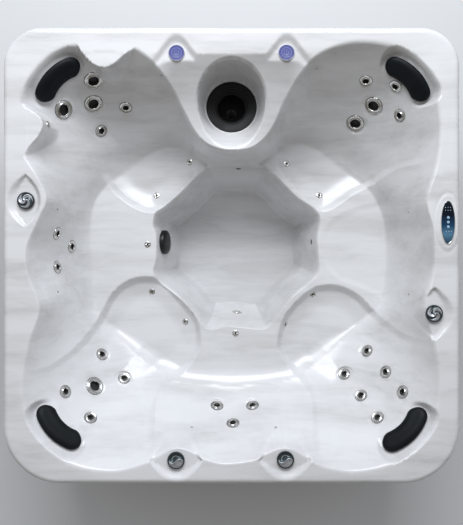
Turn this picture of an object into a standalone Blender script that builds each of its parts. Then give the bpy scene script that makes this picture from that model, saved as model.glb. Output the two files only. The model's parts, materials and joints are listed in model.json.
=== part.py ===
# Hot tub: a moulded acrylic shell with seven seats and a footwell, in a square cabinet, with its pillows,
# jets, valves, lights, control panel, skimmer filter, pump and heater. Metres, +Z up, -Y the front.
# The origin is on the floor under the middle of the tub.
import math

import bmesh
import bpy
import numpy as np
from mathutils import Matrix, Vector
from mathutils.geometry import delaunay_2d_cdt

# Driving dimensions of the tub
WIDTH = 2.0
DEPTH = 2.0
HEIGHT = 0.9
SHELL_WALL = 0.008
BACK_CORNER_RADIUS = 0.17
FRONT_CORNER_RADIUS = 0.25
CLEARANCE = 0.0003

# Heights inside the tub
BENCH_HEIGHT = 0.47
BUCKET_DEPTH = 0.06
FLOOR_HEIGHT = 0.1
WELL_DEPTH = 0.27
BLOCK_DROP = 0.12
BLOCK_EDGE = 0.4
BLOCK_FADE = 0.15
LOBE_DROP = 0.012
LOBE_WALL = 0.03
LOBE_WALL_HEIGHT = 0.15

# Rim
ROLL_RADIUS = 0.02
SKIRT_DEPTH = 0.045
STEP_WIDTH = 0.065

# Fillets, as the height over which two surfaces run together
RIM_BLEND = 0.05
SEAT_BLEND = 0.06
LIP_BLEND = 0.035
FLOOR_BLEND = 0.06
WELL_BLEND = 0.02

# Spacing of the shell's points
OUTLINE_STEP = 0.1
FILL_STEP = 0.14
KEEP_OFF = 0.055
FINE_STEP = 0.07
EDGE_OUTSIDE = 0.014
EDGE_INSIDE = 0.005
DISH_POINTS = 12
PILLOW_STATIONS = 6
PILLOW_TIP_TURNS = 6
PILLOW_RINGS = 12
PILLOW_POINTS = 12
PILLOW_END_SHARE = 0.985

# Outlines, as shares of half the width and half the depth
BASIN_SHARES = (
    (-0.927, 0.665), (-0.905, 0.735), (-0.85, 0.82), (-0.77, 0.888), (-0.668, 0.921),
    (-0.55, 0.93), (-0.44, 0.91), (-0.355, 0.858), (-0.27, 0.77), (-0.205, 0.635), (-0.14, 0.505),
    (-0.075, 0.48), (0.095, 0.483), (0.16, 0.53), (0.215, 0.66), (0.285, 0.79), (0.37, 0.873),
    (0.48, 0.922), (0.6, 0.931), (0.745, 0.899), (0.833, 0.82), (0.894, 0.7), (0.916, 0.555),
    (0.9, 0.4), (0.853, 0.24), (0.88, 0.11), (0.884, -0.06), (0.85, -0.23), (0.89, -0.4),
    (0.908, -0.572), (0.885, -0.71), (0.815, -0.82), (0.7, -0.904), (0.54, -0.937),
    (0.391, -0.913), (0.24, -0.842), (0.1, -0.89), (-0.03, -0.906), (-0.12, -0.885), (-0.24, -0.842),
    (-0.37, -0.9), (-0.515, -0.935), (-0.68, -0.912), (-0.8, -0.84), (-0.885, -0.715),
    (-0.911, -0.57), (-0.885, -0.39), (-0.836, -0.23), (-0.885, -0.09), (-0.895, 0.03),
    (-0.84, 0.16), (-0.806, 0.25), (-0.85, 0.35), (-0.905, 0.44), (-0.93, 0.55),
)
# Two shoulder lobes that stand out from the rim over the back left seat
LOBE_SHARES = (
    ((-0.96, 0.68), (-0.925, 0.665), (-0.88, 0.64), (-0.835, 0.605), (-0.822, 0.568), (-0.84, 0.525),
     (-0.87, 0.49), (-0.91, 0.44), (-0.96, 0.42)),
    ((-0.7, 0.96), (-0.668, 0.921), (-0.645, 0.875), (-0.608, 0.838), (-0.558, 0.819), (-0.512, 0.838),
     (-0.472, 0.872), (-0.425, 0.915), (-0.4, 0.96)),
)
SEAT_SHARES = (
    (-0.71, 0.0), (-0.712, 0.15), (-0.69, 0.27), (-0.625, 0.37), (-0.54, 0.45), (-0.44, 0.52),
    (-0.34, 0.56), (-0.25, 0.545), (-0.185, 0.49), (-0.12, 0.462), (0.0, 0.458), (0.135, 0.462),
    (0.2, 0.495), (0.27, 0.55), (0.36, 0.575), (0.46, 0.54), (0.57, 0.46), (0.67, 0.37), (0.745, 0.25),
    (0.78, 0.1), (0.78, -0.1), (0.745, -0.24), (0.66, -0.34), (0.56, -0.43), (0.44, -0.53),
    (0.27, -0.615), (0.0, -0.64), (-0.27, -0.615), (-0.43, -0.53), (-0.55, -0.43), (-0.64, -0.34),
    (-0.695, -0.22),
)
LIP_SHARES = (
    (-0.1, 0.446), (-0.135, 0.425), (-0.245, 0.325), (-0.335, 0.245), (-0.378, 0.21), (-0.39, 0.15),
    (-0.374, 0.1), (-0.375, -0.02), (-0.388, -0.08), (-0.36, -0.13), (-0.255, -0.212),
    (-0.185, -0.289), (-0.14, -0.345), (-0.1, -0.365), (-0.02, -0.35), (0.089, -0.359),
    (0.163, -0.362), (0.2, -0.335), (0.24, -0.281), (0.302, -0.204), (0.4, -0.122), (0.435, -0.07),
    (0.427, 0.08), (0.44, 0.18), (0.41, 0.23), (0.321, 0.294), (0.24, 0.375), (0.175, 0.43),
    (0.135, 0.446),
)
# The floor's outline is this far inside the lip's
FLOOR_INSET = 0.085
BUCKET_SHARES = {
    "back_left": ((-0.76, 0.66), (-0.673, 0.503), (-0.643, 0.403), (-0.568, 0.318), (-0.483, 0.248),
                  (-0.39, 0.205), (-0.3, 0.12), (0.0, 0.35), (-0.1, 0.65), (-0.3, 0.98), (-0.8, 0.98)),
    "back_right": ((0.98, 0.5), (0.768, 0.363), (0.703, 0.303), (0.618, 0.253), (0.518, 0.208),
                   (0.44, 0.17), (0.35, 0.1), (0.05, 0.35), (0.12, 0.65), (0.3, 0.98), (0.98, 0.98)),
    "front_left": ((-0.98, -0.55), (-0.83, -0.5), (-0.73, -0.417), (-0.653, -0.308), (-0.615, -0.215),
                   (-0.545, -0.145), (-0.469, -0.11), (-0.4, -0.105), (-0.2, -0.05), (0.0, -0.2),
                   (-0.145, -0.375), (-0.17, -0.47), (-0.24, -0.57), (-0.35, -0.68), (-0.4, -0.98),
                   (-0.98, -0.98)),
    "front_right": ((0.98, -0.45), (0.763, -0.293), (0.695, -0.21), (0.618, -0.157), (0.533, -0.118),
                    (0.45, -0.085), (0.25, -0.02), (0.03, -0.2), (0.185, -0.375), (0.2, -0.463),
                    (0.289, -0.563), (0.38, -0.68), (0.42, -0.98), (0.98, -0.98)),
}

# Skimmer well, behind the footwell
WELL_INSET = 0.295
WELL_HALF_WIDTH = 0.158
WELL_BACK = 0.165
WELL_FRONT = 0.19
WEIR_RADIUS = 0.12
WEIR_HOLE_RADIUS = 0.064
WEIR_HEIGHT = 0.05
CANISTER_WALL = 0.005
CANISTER_LIFT = 0.15
CANISTER_FLANGE = 0.012
CARTRIDGE_RADIUS = 0.088
CARTRIDGE_BORE = 0.025
CARTRIDGE_GAP = 0.105
WELL_LEDGE = 0.006
WEIR_LIP = 0.004
WEIR_FUNNEL_SHARE = 0.7

# Round fittings on the rim: place as shares, then the sizes that they all have
KNOB_SHARES = {
    "front_left": (-0.243, -0.897), "front_right": (0.236, -0.894),
    "left": (-0.9, 0.24), "right": (0.887, -0.254),
}
LIGHT_SHARES = {"left": (-0.241, 0.888), "right": (0.241, 0.889)}
DISH_HALF_LENGTH = 0.095
DISH_HALF_WIDTH = 0.062
DISH_DEPTH = 0.018
DISH_FLAT_SHARE = 0.68
KNOB_RADIUS = 0.038
KNOB_HEIGHT = 0.024
KNOB_STEM_RADIUS = 0.012
KNOB_STEM_LENGTH = 0.045
CREST_WIDTH = 0.012
CREST_HEIGHT = 0.008
CREST_SWEEP_SHARE = 0.3
CREST_REACH_SHARE = 0.9
# Radius and height of the cap above its base, as shares of the knob's and the light's own
KNOB_PROFILE_SHARES = ((1, 0.7), (0.86, 1), (0.6, 0.9), (0.3, 0.9), (0, 0.9))
LIGHT_PROFILE_SHARES = ((1, 0.35), (0.86, 1), (0.6, 0.8), (0.35, 1), (0, 0.85))
LIGHT_RADIUS = 0.037
LIGHT_HEIGHT = 0.007

# Control panel
PANEL_INSET = 0.057
PANEL_ALONG_SHARE = 0.145
PANEL_HALF_WIDTH = 0.031
PANEL_HALF_LENGTH = 0.094
PANEL_HEIGHT = 0.008
PANEL_STEM_DEPTH = 0.03
PANEL_STEM_SHARE = 0.4
PANEL_EDGE_SHARE = 0.6
PANEL_TOP_SHARES = (0.88, 0.96)
BUTTONS = 3
BUTTON_RADIUS = 0.006
BUTTON_TRAVEL = 0.0015
BUTTON_POCKET = 0.006
BUTTON_SPACING = 0.02
BUTTON_TOP_SHARE = 0.7

# Pillows
PILLOW_SHARES = {
    "back_left": (-0.784, 0.793), "back_right": (0.795, 0.795),
    "front_left": (-0.779, -0.775), "front_right": (0.782, -0.785),
}
PILLOW_DROP = 0.075
PILLOW_SLOPE_SHARE = 0.8
PILLOW_CHORD = 0.156
PILLOW_BOW = 0.016
PILLOW_HALF_WIDTH = 0.046
PILLOW_CROWN = 0.032
PILLOW_SIDE_SHARE = 0.3
PILLOW_TUCK_SHARE = 0.12
PILLOW_TURN_SHARE = 0.6
PAD_MARGIN = 0.007
PAD_FADE = 0.045

# Jets: place as shares and whether each is a large one
JET_SHARES = {
    "back_left_jet": ((-0.633, 0.802, 1), (-0.772, 0.67, 1), (-0.651, 0.715, 1), (-0.505, 0.707, 0),
                      (-0.632, 0.605, 0)),
    "back_right_jet": ((0.619, 0.804, 0), (0.745, 0.768, 0), (0.671, 0.707, 1), (0.602, 0.642, 1),
                       (0.778, 0.648, 0)),
    "left_jet": ((-0.807, 0.102, 0), (-0.769, 0.044, 0), (-0.813, -0.054, 0)),
    "front_left_jet": ((-0.769, -0.63, 0), (-0.655, -0.753, 0), (-0.656, -0.625, 1), (-0.637, -0.486, 0),
                       (-0.529, -0.605, 0)),
    "front_right_jet": ((0.665, -0.468, 0), (0.557, -0.585, 0), (0.731, -0.552, 0), (0.787, -0.628, 0),
                        (0.62, -0.67, 0), (0.676, -0.75, 0)),
    "front_jet": ((-0.07, -0.723, 0), (0.007, -0.785, 0), (0.101, -0.721, 0)),
}
LARGE_JET_RADIUS = 0.043
SMALL_JET_RADIUS = 0.029
JET_PROUD = 0.005
JET_COLLAR = 0.004
JET_BARREL_SHARE = 0.62
JET_BARREL_LENGTH = 0.045
JET_MOUTH_SHARE = 0.4
JET_MOUTH_DEPTH = 0.012
JET_FACE_SHARE = 0.8
HOLE_SPARE = 0.002

# Suction cover on the footwell's left wall
SUCTION_X_SHARE = 0.35
SUCTION_Y = 0.068
SUCTION_RADIUS = 0.062
SUCTION_HEIGHT = 0.02
SUCTION_STEM_RADIUS = 0.03
SUCTION_STEM_LENGTH = 0.03
SUCTION_PROFILE_SHARES = ((1, 0.5), (0.85, 0.9), (0.5, 1), (0, 1))

# Cabinet
PANEL_WALL = 0.016
CABINET_INSET = 0.026
RIM_SAG = 0.0065
PLANKS = 6
GROOVE_WIDTH = 0.008
GROOVE_DEPTH = 0.004
BASE_HEIGHT = 0.05
POST_GAP = 0.002
POST_TURNS = 8
SUPPORT_SIDE = 0.4

# Equipment under the front bench
MOTOR_RADIUS = 0.07
MOTOR_LENGTH = 0.22
VOLUTE_RADIUS = 0.085
VOLUTE_LENGTH = 0.08
PUMP_FOOT_HEIGHT = 0.02
PUMP_X = 0.25
PUMP_INSET = 0.28
PUMP_INLET_LENGTH = 0.04
PUMP_INLET_RADIUS = 0.035
HEATER_RADIUS = 0.035
HEATER_LENGTH = 0.4
HEATER_END_LENGTH = 0.05
HEATER_HEIGHT = 0.22
HEATER_X = -0.5
HEATER_INSET = 0.3
CONTROL_WIDTH = 0.3
CONTROL_DEPTH = 0.12
CONTROL_HEIGHT = 0.22
CONTROL_INSET = 0.14
PIPE_RADIUS = 0.025
PIPE_LEAD = 0.06
PIPE_STEPS = 4
# Where the suction pipe passes, as shares of half the width, half the depth and the height
PIPE_SHARES = ((-0.56, -0.02, 0.2), (-0.55, -0.3, 0.13), (-0.38, -0.52, 0.12), (-0.1, -0.6, 0.14))

# How round pieces are drawn
ROUND_SIDES = 28
JET_SIDES = 10
KNOB_SIDES = 2 * JET_SIDES
PIPE_SIDES = 12

HALF = Vector((WIDTH / 2, DEPTH / 2, HEIGHT))
SKIRT_FOOT = HEIGHT - ROLL_RADIUS - SKIRT_DEPTH
WELL_HEIGHT = HEIGHT - WELL_DEPTH
WELL_Y = HALF.y - WELL_INSET
PILLOW_HEIGHT = HEIGHT - PILLOW_DROP
PUMP_Y = PUMP_INSET - HALF.y
HEATER_Y = HEATER_INSET - HALF.y
CONTROL_Y = CONTROL_INSET - HALF.y


# Curves and distances in plan
def placed(shares):
    """Points in plan from shares of half the width and half the depth."""
    return np.array([(x * HALF.x, y * HALF.y) for x, y in shares])


def curve_point(before, start, end, after, share):
    """A point on the smooth curve from start to end, given the points on either side of them."""
    return 0.5 * (2 * start + (end - before) * share
                  + (2 * before - 5 * start + 4 * end - after) * share ** 2
                  + (3 * start - before - 3 * end + after) * share ** 3)


def smooth_loop(points, step):
    """A closed curve through the points, in equal steps of about the given length."""
    count = len(points)
    samples = []
    for index in range(count):
        before, start, end, after = (points[(index + offset) % count] for offset in (-1, 0, 1, 2))
        for fraction in np.linspace(0, 1, 12, endpoint=False):
            samples.append(curve_point(before, start, end, after, fraction))
    samples = np.array(samples + samples[:1])
    along = np.concatenate(([0], np.cumsum(np.linalg.norm(np.diff(samples, axis=0), axis=1))))
    pieces = max(8, round(along[-1] / step))
    at = np.linspace(0, along[-1], pieces, endpoint=False)
    return np.column_stack([np.interp(at, along, samples[:, axis]) for axis in (0, 1)])


def signed_distance(loop, points):
    """Distance of each point to a closed loop, positive inside it."""
    start = loop
    end = np.roll(loop, -1, axis=0)
    edge = end - start
    offset = points[:, None, :] - start[None, :, :]
    along = np.clip((offset * edge).sum(2) / (edge ** 2).sum(1), 0, 1)
    nearest = offset - along[:, :, None] * edge
    distance = np.sqrt((nearest ** 2).sum(2)).min(axis=1)
    x, y = points[:, 0:1], points[:, 1:2]
    spans = (start[:, 1] > y) != (end[:, 1] > y)
    rise = np.where(edge[:, 1] == 0, 1, edge[:, 1])
    crossings = spans & (x < start[:, 0] + (y - start[:, 1]) * edge[:, 0] / rise)
    inside = crossings.sum(axis=1) % 2 == 1
    return np.where(inside, distance, -distance)


def inset_loop(loop, inset):
    """The loop moved inwards along its own normals."""
    tangent = np.roll(loop, -1, axis=0) - np.roll(loop, 1, axis=0)
    normal = np.column_stack([tangent[:, 1], -tangent[:, 0]])
    normal /= np.linalg.norm(normal, axis=1)[:, None]
    turned = 1 if signed_distance(loop, loop + normal * CLEARANCE).mean() > 0 else -1
    return loop + normal * inset * turned


def rounded_square(inset, step):
    """The tub's outline from above, clockwise from the back left, drawn in by an inset."""
    half_x, half_y = HALF.x - inset, HALF.y - inset
    corners = ((-1, 1, BACK_CORNER_RADIUS), (1, 1, BACK_CORNER_RADIUS),
               (1, -1, FRONT_CORNER_RADIUS), (-1, -1, FRONT_CORNER_RADIUS))
    points = []
    for index, (side_x, side_y, radius) in enumerate(corners):
        radius = max(radius - inset, CLEARANCE)
        middle = Vector((side_x * (half_x - radius), side_y * (half_y - radius)))
        first = math.pi - index * math.pi / 2
        turns = max(4, round(radius * math.pi / 2 / step))
        for turn in range(turns + 1):
            angle = first - turn / turns * math.pi / 2
            points.append((middle.x + radius * math.cos(angle), middle.y + radius * math.sin(angle)))
    full = []
    for start, end in zip(points, points[1:] + points[:1]):
        length = math.dist(start, end)
        pieces = max(1, math.ceil(length / (2 * step)))
        for piece in range(pieces):
            full.append(tuple(a + (b - a) * piece / pieces for a, b in zip(start, end)))
    return np.array(full)


def oval(center, half_x, half_y, count):
    """Points round an ellipse in plan."""
    angles = [2 * math.pi * index / count for index in range(count)]
    return np.array([(center[0] + half_x * math.cos(a), center[1] + half_y * math.sin(a)) for a in angles])


# Pillows lie on flat pads at the top of the corner backrests
def corner_direction(name):
    """The level direction from the middle of the tub to the pillow's corner."""
    x, y = PILLOW_SHARES[name]
    return Vector((math.copysign(1, x), math.copysign(1, y), 0)).normalized()


def pillow_frame(name):
    """The pillow's place: X along it, Y up its pad and Z out of the pad."""
    x, y = PILLOW_SHARES[name]
    out = corner_direction(name)
    slope = math.atan(PILLOW_SLOPE_SHARE)
    across = Vector((out.y, -out.x, 0))
    up = Vector((out.x * math.cos(slope), out.y * math.cos(slope), math.sin(slope)))
    turn = Matrix((across, up, across.cross(up))).transposed().to_4x4()
    return Matrix.Translation((x * HALF.x, y * HALF.y, PILLOW_HEIGHT)) @ turn


def pillow_arc():
    """Radius and half angle of the pillow's middle line, and how far its centre lies below the pillow's."""
    radius = (PILLOW_CHORD ** 2 / 4 + PILLOW_BOW ** 2) / (2 * PILLOW_BOW)
    return radius, math.asin(PILLOW_CHORD / 2 / radius), radius - PILLOW_BOW / 2


def pillow_reach(across, up):
    """Distance in the pad's plane from the pillow's middle line."""
    radius, half_angle, below = pillow_arc()
    angle = np.clip(np.arctan2(across, up + below), -half_angle, half_angle)
    return np.hypot(across - radius * np.sin(angle), up + below - radius * np.cos(angle))


# The height of the moulded surface
def smooth_min(first, second, blend):
    share = np.clip(0.5 + 0.5 * (second - first) / blend, 0, 1)
    return second + (first - second) * share - blend * share * (1 - share)


def smooth_max(first, second, blend):
    return -smooth_min(-first, -second, blend)


def ramp(value):
    value = np.clip(value, 0, 1)
    return value * value * (3 - 2 * value)


BASIN_EDGE = smooth_loop(placed(BASIN_SHARES), FINE_STEP)
SEAT_FOOT = smooth_loop(placed(SEAT_SHARES), OUTLINE_STEP)
LIP = smooth_loop(placed(LIP_SHARES), FINE_STEP)
FLOOR = inset_loop(LIP, FLOOR_INSET)
BUCKETS = {name: placed(shares) for name, shares in BUCKET_SHARES.items()}
LOBES = [smooth_loop(placed(shares), FINE_STEP) for shares in LOBE_SHARES]
WALL_SAG_SHARE = 0.3


def well_edge(count):
    """The oval edge of the skimmer well, longer towards the front."""
    points = []
    for index in range(count):
        angle = 2 * math.pi * index / count
        reach = WELL_BACK if math.sin(angle) > 0 else WELL_FRONT
        points.append((WELL_HALF_WIDTH * math.cos(angle), WELL_Y + reach * math.sin(angle)))
    return np.array(points)


def dishes():
    """Centre, half length, half width and turn of each shallow dish in the rim."""
    found = []
    for name, (x, y) in list(KNOB_SHARES.items()) + list(LIGHT_SHARES.items()):
        along_x = abs(y) > abs(x)
        half = (DISH_HALF_LENGTH, DISH_HALF_WIDTH) if along_x else (DISH_HALF_WIDTH, DISH_HALF_LENGTH)
        found.append(((x * HALF.x, y * HALF.y), half))
    return found


def seat_height(points):
    height = np.full(len(points), BENCH_HEIGHT)
    for loop in BUCKETS.values():
        height = height - BUCKET_DEPTH * ramp(signed_distance(loop, points) / STEP_WIDTH)
    return height


def rim_height(points):
    block = ramp((WELL_Y + WELL_BACK - points[:, 1]) / (WELL_BACK + WELL_FRONT))
    block = block * ramp((BLOCK_EDGE - np.abs(points[:, 0])) / BLOCK_FADE)
    height = HEIGHT - BLOCK_DROP * block * (points[:, 1] > 0)
    for (x, y), (half_x, half_y) in dishes():
        reach = np.sqrt(((points[:, 0] - x) / half_x) ** 2 + ((points[:, 1] - y) / half_y) ** 2)
        height = height - DISH_DEPTH * ramp((1 - reach) / (1 - DISH_FLAT_SHARE))
    return height


def between(low_side, high_side):
    """How far a point is from one outline to the next, as a share, running on past both."""
    return low_side / np.maximum(low_side + high_side, CLEARANCE)


def moulded_height(points):
    """Height of the shell's upper face at points in plan."""
    seat = seat_height(points)
    top = rim_height(points)
    climb = between(-signed_distance(SEAT_FOOT, points), signed_distance(BASIN_EDGE, points))
    climb = np.where(climb > 0, climb - WALL_SAG_SHARE * climb * np.clip(1 - climb, 0, 1), climb)
    height = smooth_max(seat, seat + (top - seat) * climb, SEAT_BLEND)
    for lobe in LOBES:
        beyond = np.minimum(signed_distance(lobe, points), 0)
        height = smooth_max(height, HEIGHT - LOBE_DROP + LOBE_WALL_HEIGHT / LOBE_WALL * beyond, WELL_BLEND)
    fall = between(signed_distance(LIP, points), -signed_distance(FLOOR, points))
    footwell = smooth_max(seat + (FLOOR_HEIGHT - seat) * fall, np.full(len(points), FLOOR_HEIGHT), FLOOR_BLEND)
    height = smooth_min(height, footwell, LIP_BLEND)
    height = smooth_min(height, top, RIM_BLEND)
    bore = oval((0, WELL_Y), WEIR_RADIUS + WELL_LEDGE, WEIR_RADIUS + WELL_LEDGE, ROUND_SIDES)
    drop = between(signed_distance(well_edge(ROUND_SIDES), points), -signed_distance(bore, points))
    well = smooth_max(top + (WELL_HEIGHT - top) * drop, np.full(len(points), WELL_HEIGHT), WELL_BLEND)
    height = smooth_min(height, well, WELL_BLEND)
    for name in PILLOW_SHARES:
        frame = pillow_frame(name)
        local = points - np.array(frame.translation.xy)
        across = local @ np.array(frame.col[0].xy)
        up = local @ np.array(corner_direction(name).xy)
        flat = PILLOW_HEIGHT + PILLOW_SLOPE_SHARE * up
        reach = pillow_reach(across, up * math.hypot(1, PILLOW_SLOPE_SHARE))
        share = 1 - ramp((reach - PILLOW_HALF_WIDTH - PAD_MARGIN) / PAD_FADE)
        height = height * (1 - share) + flat * share
    outside = signed_distance(rounded_square(0, OUTLINE_STEP), points)
    rolled = np.clip(ROLL_RADIUS - outside, 0, ROLL_RADIUS)
    return height - ROLL_RADIUS + np.sqrt(ROLL_RADIUS ** 2 - rolled ** 2)


def height_at(x, y):
    return float(moulded_height(np.array([(x, y)]))[0])


def surface_frame(x, y):
    """A frame on the moulded surface whose Z points out of it and whose Y runs up it."""
    reach = SHELL_WALL / 2
    slope_x = (height_at(x + reach, y) - height_at(x - reach, y)) / (2 * reach)
    slope_y = (height_at(x, y + reach) - height_at(x, y - reach)) / (2 * reach)
    normal = Vector((-slope_x, -slope_y, 1)).normalized()
    across = Vector((0, 0, 1)).cross(normal)
    across = across.normalized() if across.length > CLEARANCE else Vector((1, 0, 0))
    turn = Matrix((across, normal.cross(across), normal)).transposed().to_4x4()
    return Matrix.Translation((x, y, height_at(x, y))) @ turn


# Objects, materials and shared shapes
def clear_scene():
    for old in list(bpy.data.objects):
        bpy.data.objects.remove(old)


def material(name, colour, roughness, metallic=0.0):
    found = bpy.data.materials.get(name)
    if found is None:
        found = bpy.data.materials.new(name)
        found.use_nodes = True
        shader = found.node_tree.nodes["Principled BSDF"]
        shader.inputs["Base Color"].default_value = (*colour, 1)
        shader.inputs["Roughness"].default_value = roughness
        shader.inputs["Metallic"].default_value = metallic
    return found


def finish(name, mesh, look, frame=None, smooth_angle=35):
    """An object of a mesh at its place, shaded smooth between its sharp edges."""
    mesh.shade_smooth()
    mesh.set_sharp_from_angle(angle=math.radians(smooth_angle))
    mesh.materials.append(look)
    made = bpy.data.objects.new(name, mesh)
    bpy.context.collection.objects.link(made)
    if frame is not None:
        made.matrix_world = frame
    return made


def mesh_of(name, points, faces):
    mesh = bpy.data.meshes.new(name)
    mesh.from_pydata([tuple(map(float, point)) for point in points], [], faces)
    mesh.validate()
    return mesh


def loft(name, rings):
    """A closed solid through rings of as many points each, with flat ends."""
    count = len(rings[0])
    faces = [tuple(reversed(range(count)))]
    for ring in range(len(rings) - 1):
        low, high = ring * count, (ring + 1) * count
        for index in range(count):
            after = (index + 1) % count
            faces.append((low + index, low + after, high + after, high + index))
    faces.append(tuple(range(len(rings) * count - count, len(rings) * count)))
    return mesh_of(name, [point for ring in rings for point in ring], faces)


def turned(name, profile, sides):
    """A profile of (radius, height) points turned about Z, from the lowest end on the axis to the highest."""
    angles = [2 * math.pi * index / sides for index in range(sides)]
    points = []
    rings = []
    for radius, height in profile:
        start = len(points)
        if radius <= CLEARANCE:
            points.append((0, 0, height))
            rings.append([start] * sides)
        else:
            points += [(radius * math.cos(a), radius * math.sin(a), height) for a in angles]
            rings.append(list(range(start, start + sides)))
    faces = []
    closed = profile[0][0] > CLEARANCE
    pairs = list(zip(rings, rings[1:] + rings[:1])) if closed else list(zip(rings, rings[1:]))
    for low, high in pairs:
        for index in range(sides):
            after = (index + 1) % sides
            corners = [low[index], low[after], high[after], high[index]]
            kept = [c for place, c in enumerate(corners) if c not in corners[:place]]
            if len(kept) > 2:
                faces.append(tuple(kept))
    return mesh_of(name, points, faces)


def prism(name, outline, low, high):
    """An outline in plan, given clockwise or not, raised between two heights."""
    area = sum(a[0] * b[1] - b[0] * a[1] for a, b in zip(outline, list(outline[1:]) + [outline[0]]))
    outline = list(outline) if area > 0 else list(reversed(list(outline)))
    return loft(name, [[(x, y, z) for x, y in outline] for z in (low, high)])


def box(name, low, high):
    corners = ((low[0], low[1]), (high[0], low[1]), (high[0], high[1]), (low[0], high[1]))
    return prism(name, corners, low[2], high[2])


def boolean(target, mesh, frame=None, operation="DIFFERENCE"):
    """Cuts a hidden tool out of the target, or fuses it on."""
    tool = bpy.data.objects.new(target.name + "_tool", mesh)
    bpy.context.collection.objects.link(tool)
    tool.hide_render = True
    tool.display_type = "WIRE"
    if frame is not None:
        tool.matrix_world = frame
    change = target.modifiers.new("Change", "BOOLEAN")
    change.operation = operation
    change.object = tool
    change.solver = "EXACT"
    return tool


def joined(name, pieces):
    """One mesh of several meshes, each at its own place."""
    shape = bmesh.new()
    for mesh, frame in pieces:
        placed_mesh = mesh.copy()
        placed_mesh.transform(frame)
        shape.from_mesh(placed_mesh)
    result = bpy.data.meshes.new(name)
    shape.to_mesh(result)
    shape.free()
    return result


# The moulded shell
def plan_lines():
    """The lines in plan that the shell's faces follow, as (points, closed)."""
    lines = [(rounded_square(inset, OUTLINE_STEP), True) for inset in (0, ROLL_RADIUS)]
    lines += [(inset_loop(BASIN_EDGE, inset), True) for inset in (-EDGE_OUTSIDE, EDGE_INSIDE)]
    lines += [(inset_loop(LIP, inset), True) for inset in (-EDGE_OUTSIDE, EDGE_INSIDE)]
    lines += [(SEAT_FOOT, True), (FLOOR, True)]
    for lobe in LOBES:
        for inset in (EDGE_INSIDE, -LOBE_WALL):
            points = inset_loop(lobe, inset)
            lines.append((points[signed_distance(BASIN_EDGE, points) > 0], False))
    for loop in BUCKETS.values():
        edge = smooth_loop(loop, OUTLINE_STEP)
        for inset in (0, STEP_WIDTH):
            points = inset_loop(edge, inset)
            on_seat = (signed_distance(SEAT_FOOT, points) > KEEP_OFF / 2) & (
                signed_distance(LIP, points) < -KEEP_OFF / 2)
            lines.append((points[on_seat], False))
    for center, (half_x, half_y) in dishes():
        for share in (1, DISH_FLAT_SHARE):
            lines.append((oval(center, half_x * share, half_y * share, DISH_POINTS), True))
    for name in PILLOW_SHARES:
        for margin in (PAD_MARGIN, PAD_MARGIN + PAD_FADE):
            lines.append((pillow_outline(name, PILLOW_HALF_WIDTH + margin), True))
    ledge = WEIR_RADIUS + WELL_LEDGE
    lines.append((oval((0, WELL_Y), ledge, ledge, ROUND_SIDES), True))
    lines.append((well_edge(ROUND_SIDES), True))
    lines += [(ring_in_plan(frame, reach), True) for frame, reach in pads()]
    lines += [(hole, True) for hole in holes()]
    return lines


def ring_in_plan(frame, radius):
    """A ring round a frame's Z, seen from above, with as many sides as a jet."""
    turns = [2 * math.pi * index / JET_SIDES for index in range(JET_SIDES)]
    ring = [frame @ Vector((radius * math.cos(turn), radius * math.sin(turn), 0)) for turn in turns]
    return np.array([point.xy for point in ring])


def pads():
    """Frame and radius of each flat pad that is moulded for a round fitting on a wall."""
    found = [(frame, radius + JET_COLLAR) for _, frame, radius in jets()]
    return found + [(suction_frame(), SUCTION_RADIUS + JET_COLLAR)]


def holes():
    """The outlines in plan of the holes through the shell, each clear of the round stem in it."""
    stems = [(frame, radius * JET_BARREL_SHARE) for _, frame, radius in jets()]
    stems.append((suction_frame(), SUCTION_STEM_RADIUS))
    stems += [(knob_frame(name), KNOB_STEM_RADIUS) for name in KNOB_SHARES]
    stems += [(light_frame(name), KNOB_STEM_RADIUS) for name in LIGHT_SHARES]
    widen = 1 / math.cos(math.pi / JET_SIDES)
    found = [ring_in_plan(frame, (radius + HOLE_SPARE) * widen) for frame, radius in stems]
    found.append(oval(panel_frame().translation.xy, PANEL_HALF_WIDTH * PANEL_STEM_SHARE + CLEARANCE,
                      PANEL_HALF_LENGTH * PANEL_STEM_SHARE + CLEARANCE, ROUND_SIDES))
    found.append(oval((0, WELL_Y), WEIR_RADIUS + CLEARANCE, WEIR_RADIUS + CLEARANCE, ROUND_SIDES))
    return found


def flattened(plan, heights):
    """The heights with every pad's points brought into the plane of its fitting."""
    for frame, radius in pads():
        middle, normal = frame.translation, frame.col[2]
        on_pad = signed_distance(ring_in_plan(frame, radius), plan) > -CLEARANCE
        away = plan - np.array(middle.xy)
        level = middle.z - (away @ np.array(normal.xy)) / normal.z
        heights = np.where(on_pad, level, heights)
    return heights


def pillow_outline(name, reach):
    """Points in plan round a pillow, at a distance from its middle line."""
    radius, half_angle, below = pillow_arc()
    frame = pillow_frame(name)
    points = []
    for side, ends in ((1, 1), (-1, -1)):
        for step in range(PILLOW_STATIONS + 1):
            angle = half_angle * ends * (2 * step / PILLOW_STATIONS - 1)
            along = radius + side * reach
            points.append((along * math.sin(angle), along * math.cos(angle) - below))
        tip = half_angle * ends
        for step in range(1, PILLOW_TIP_TURNS):
            turn = tip + step * math.pi / PILLOW_TIP_TURNS
            points.append((radius * math.sin(tip) + side * reach * math.sin(turn),
                           radius * math.cos(tip) - below + side * reach * math.cos(turn)))
    return np.array([(frame @ Vector((x, y, 0))).xy for x, y in points])


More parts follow.
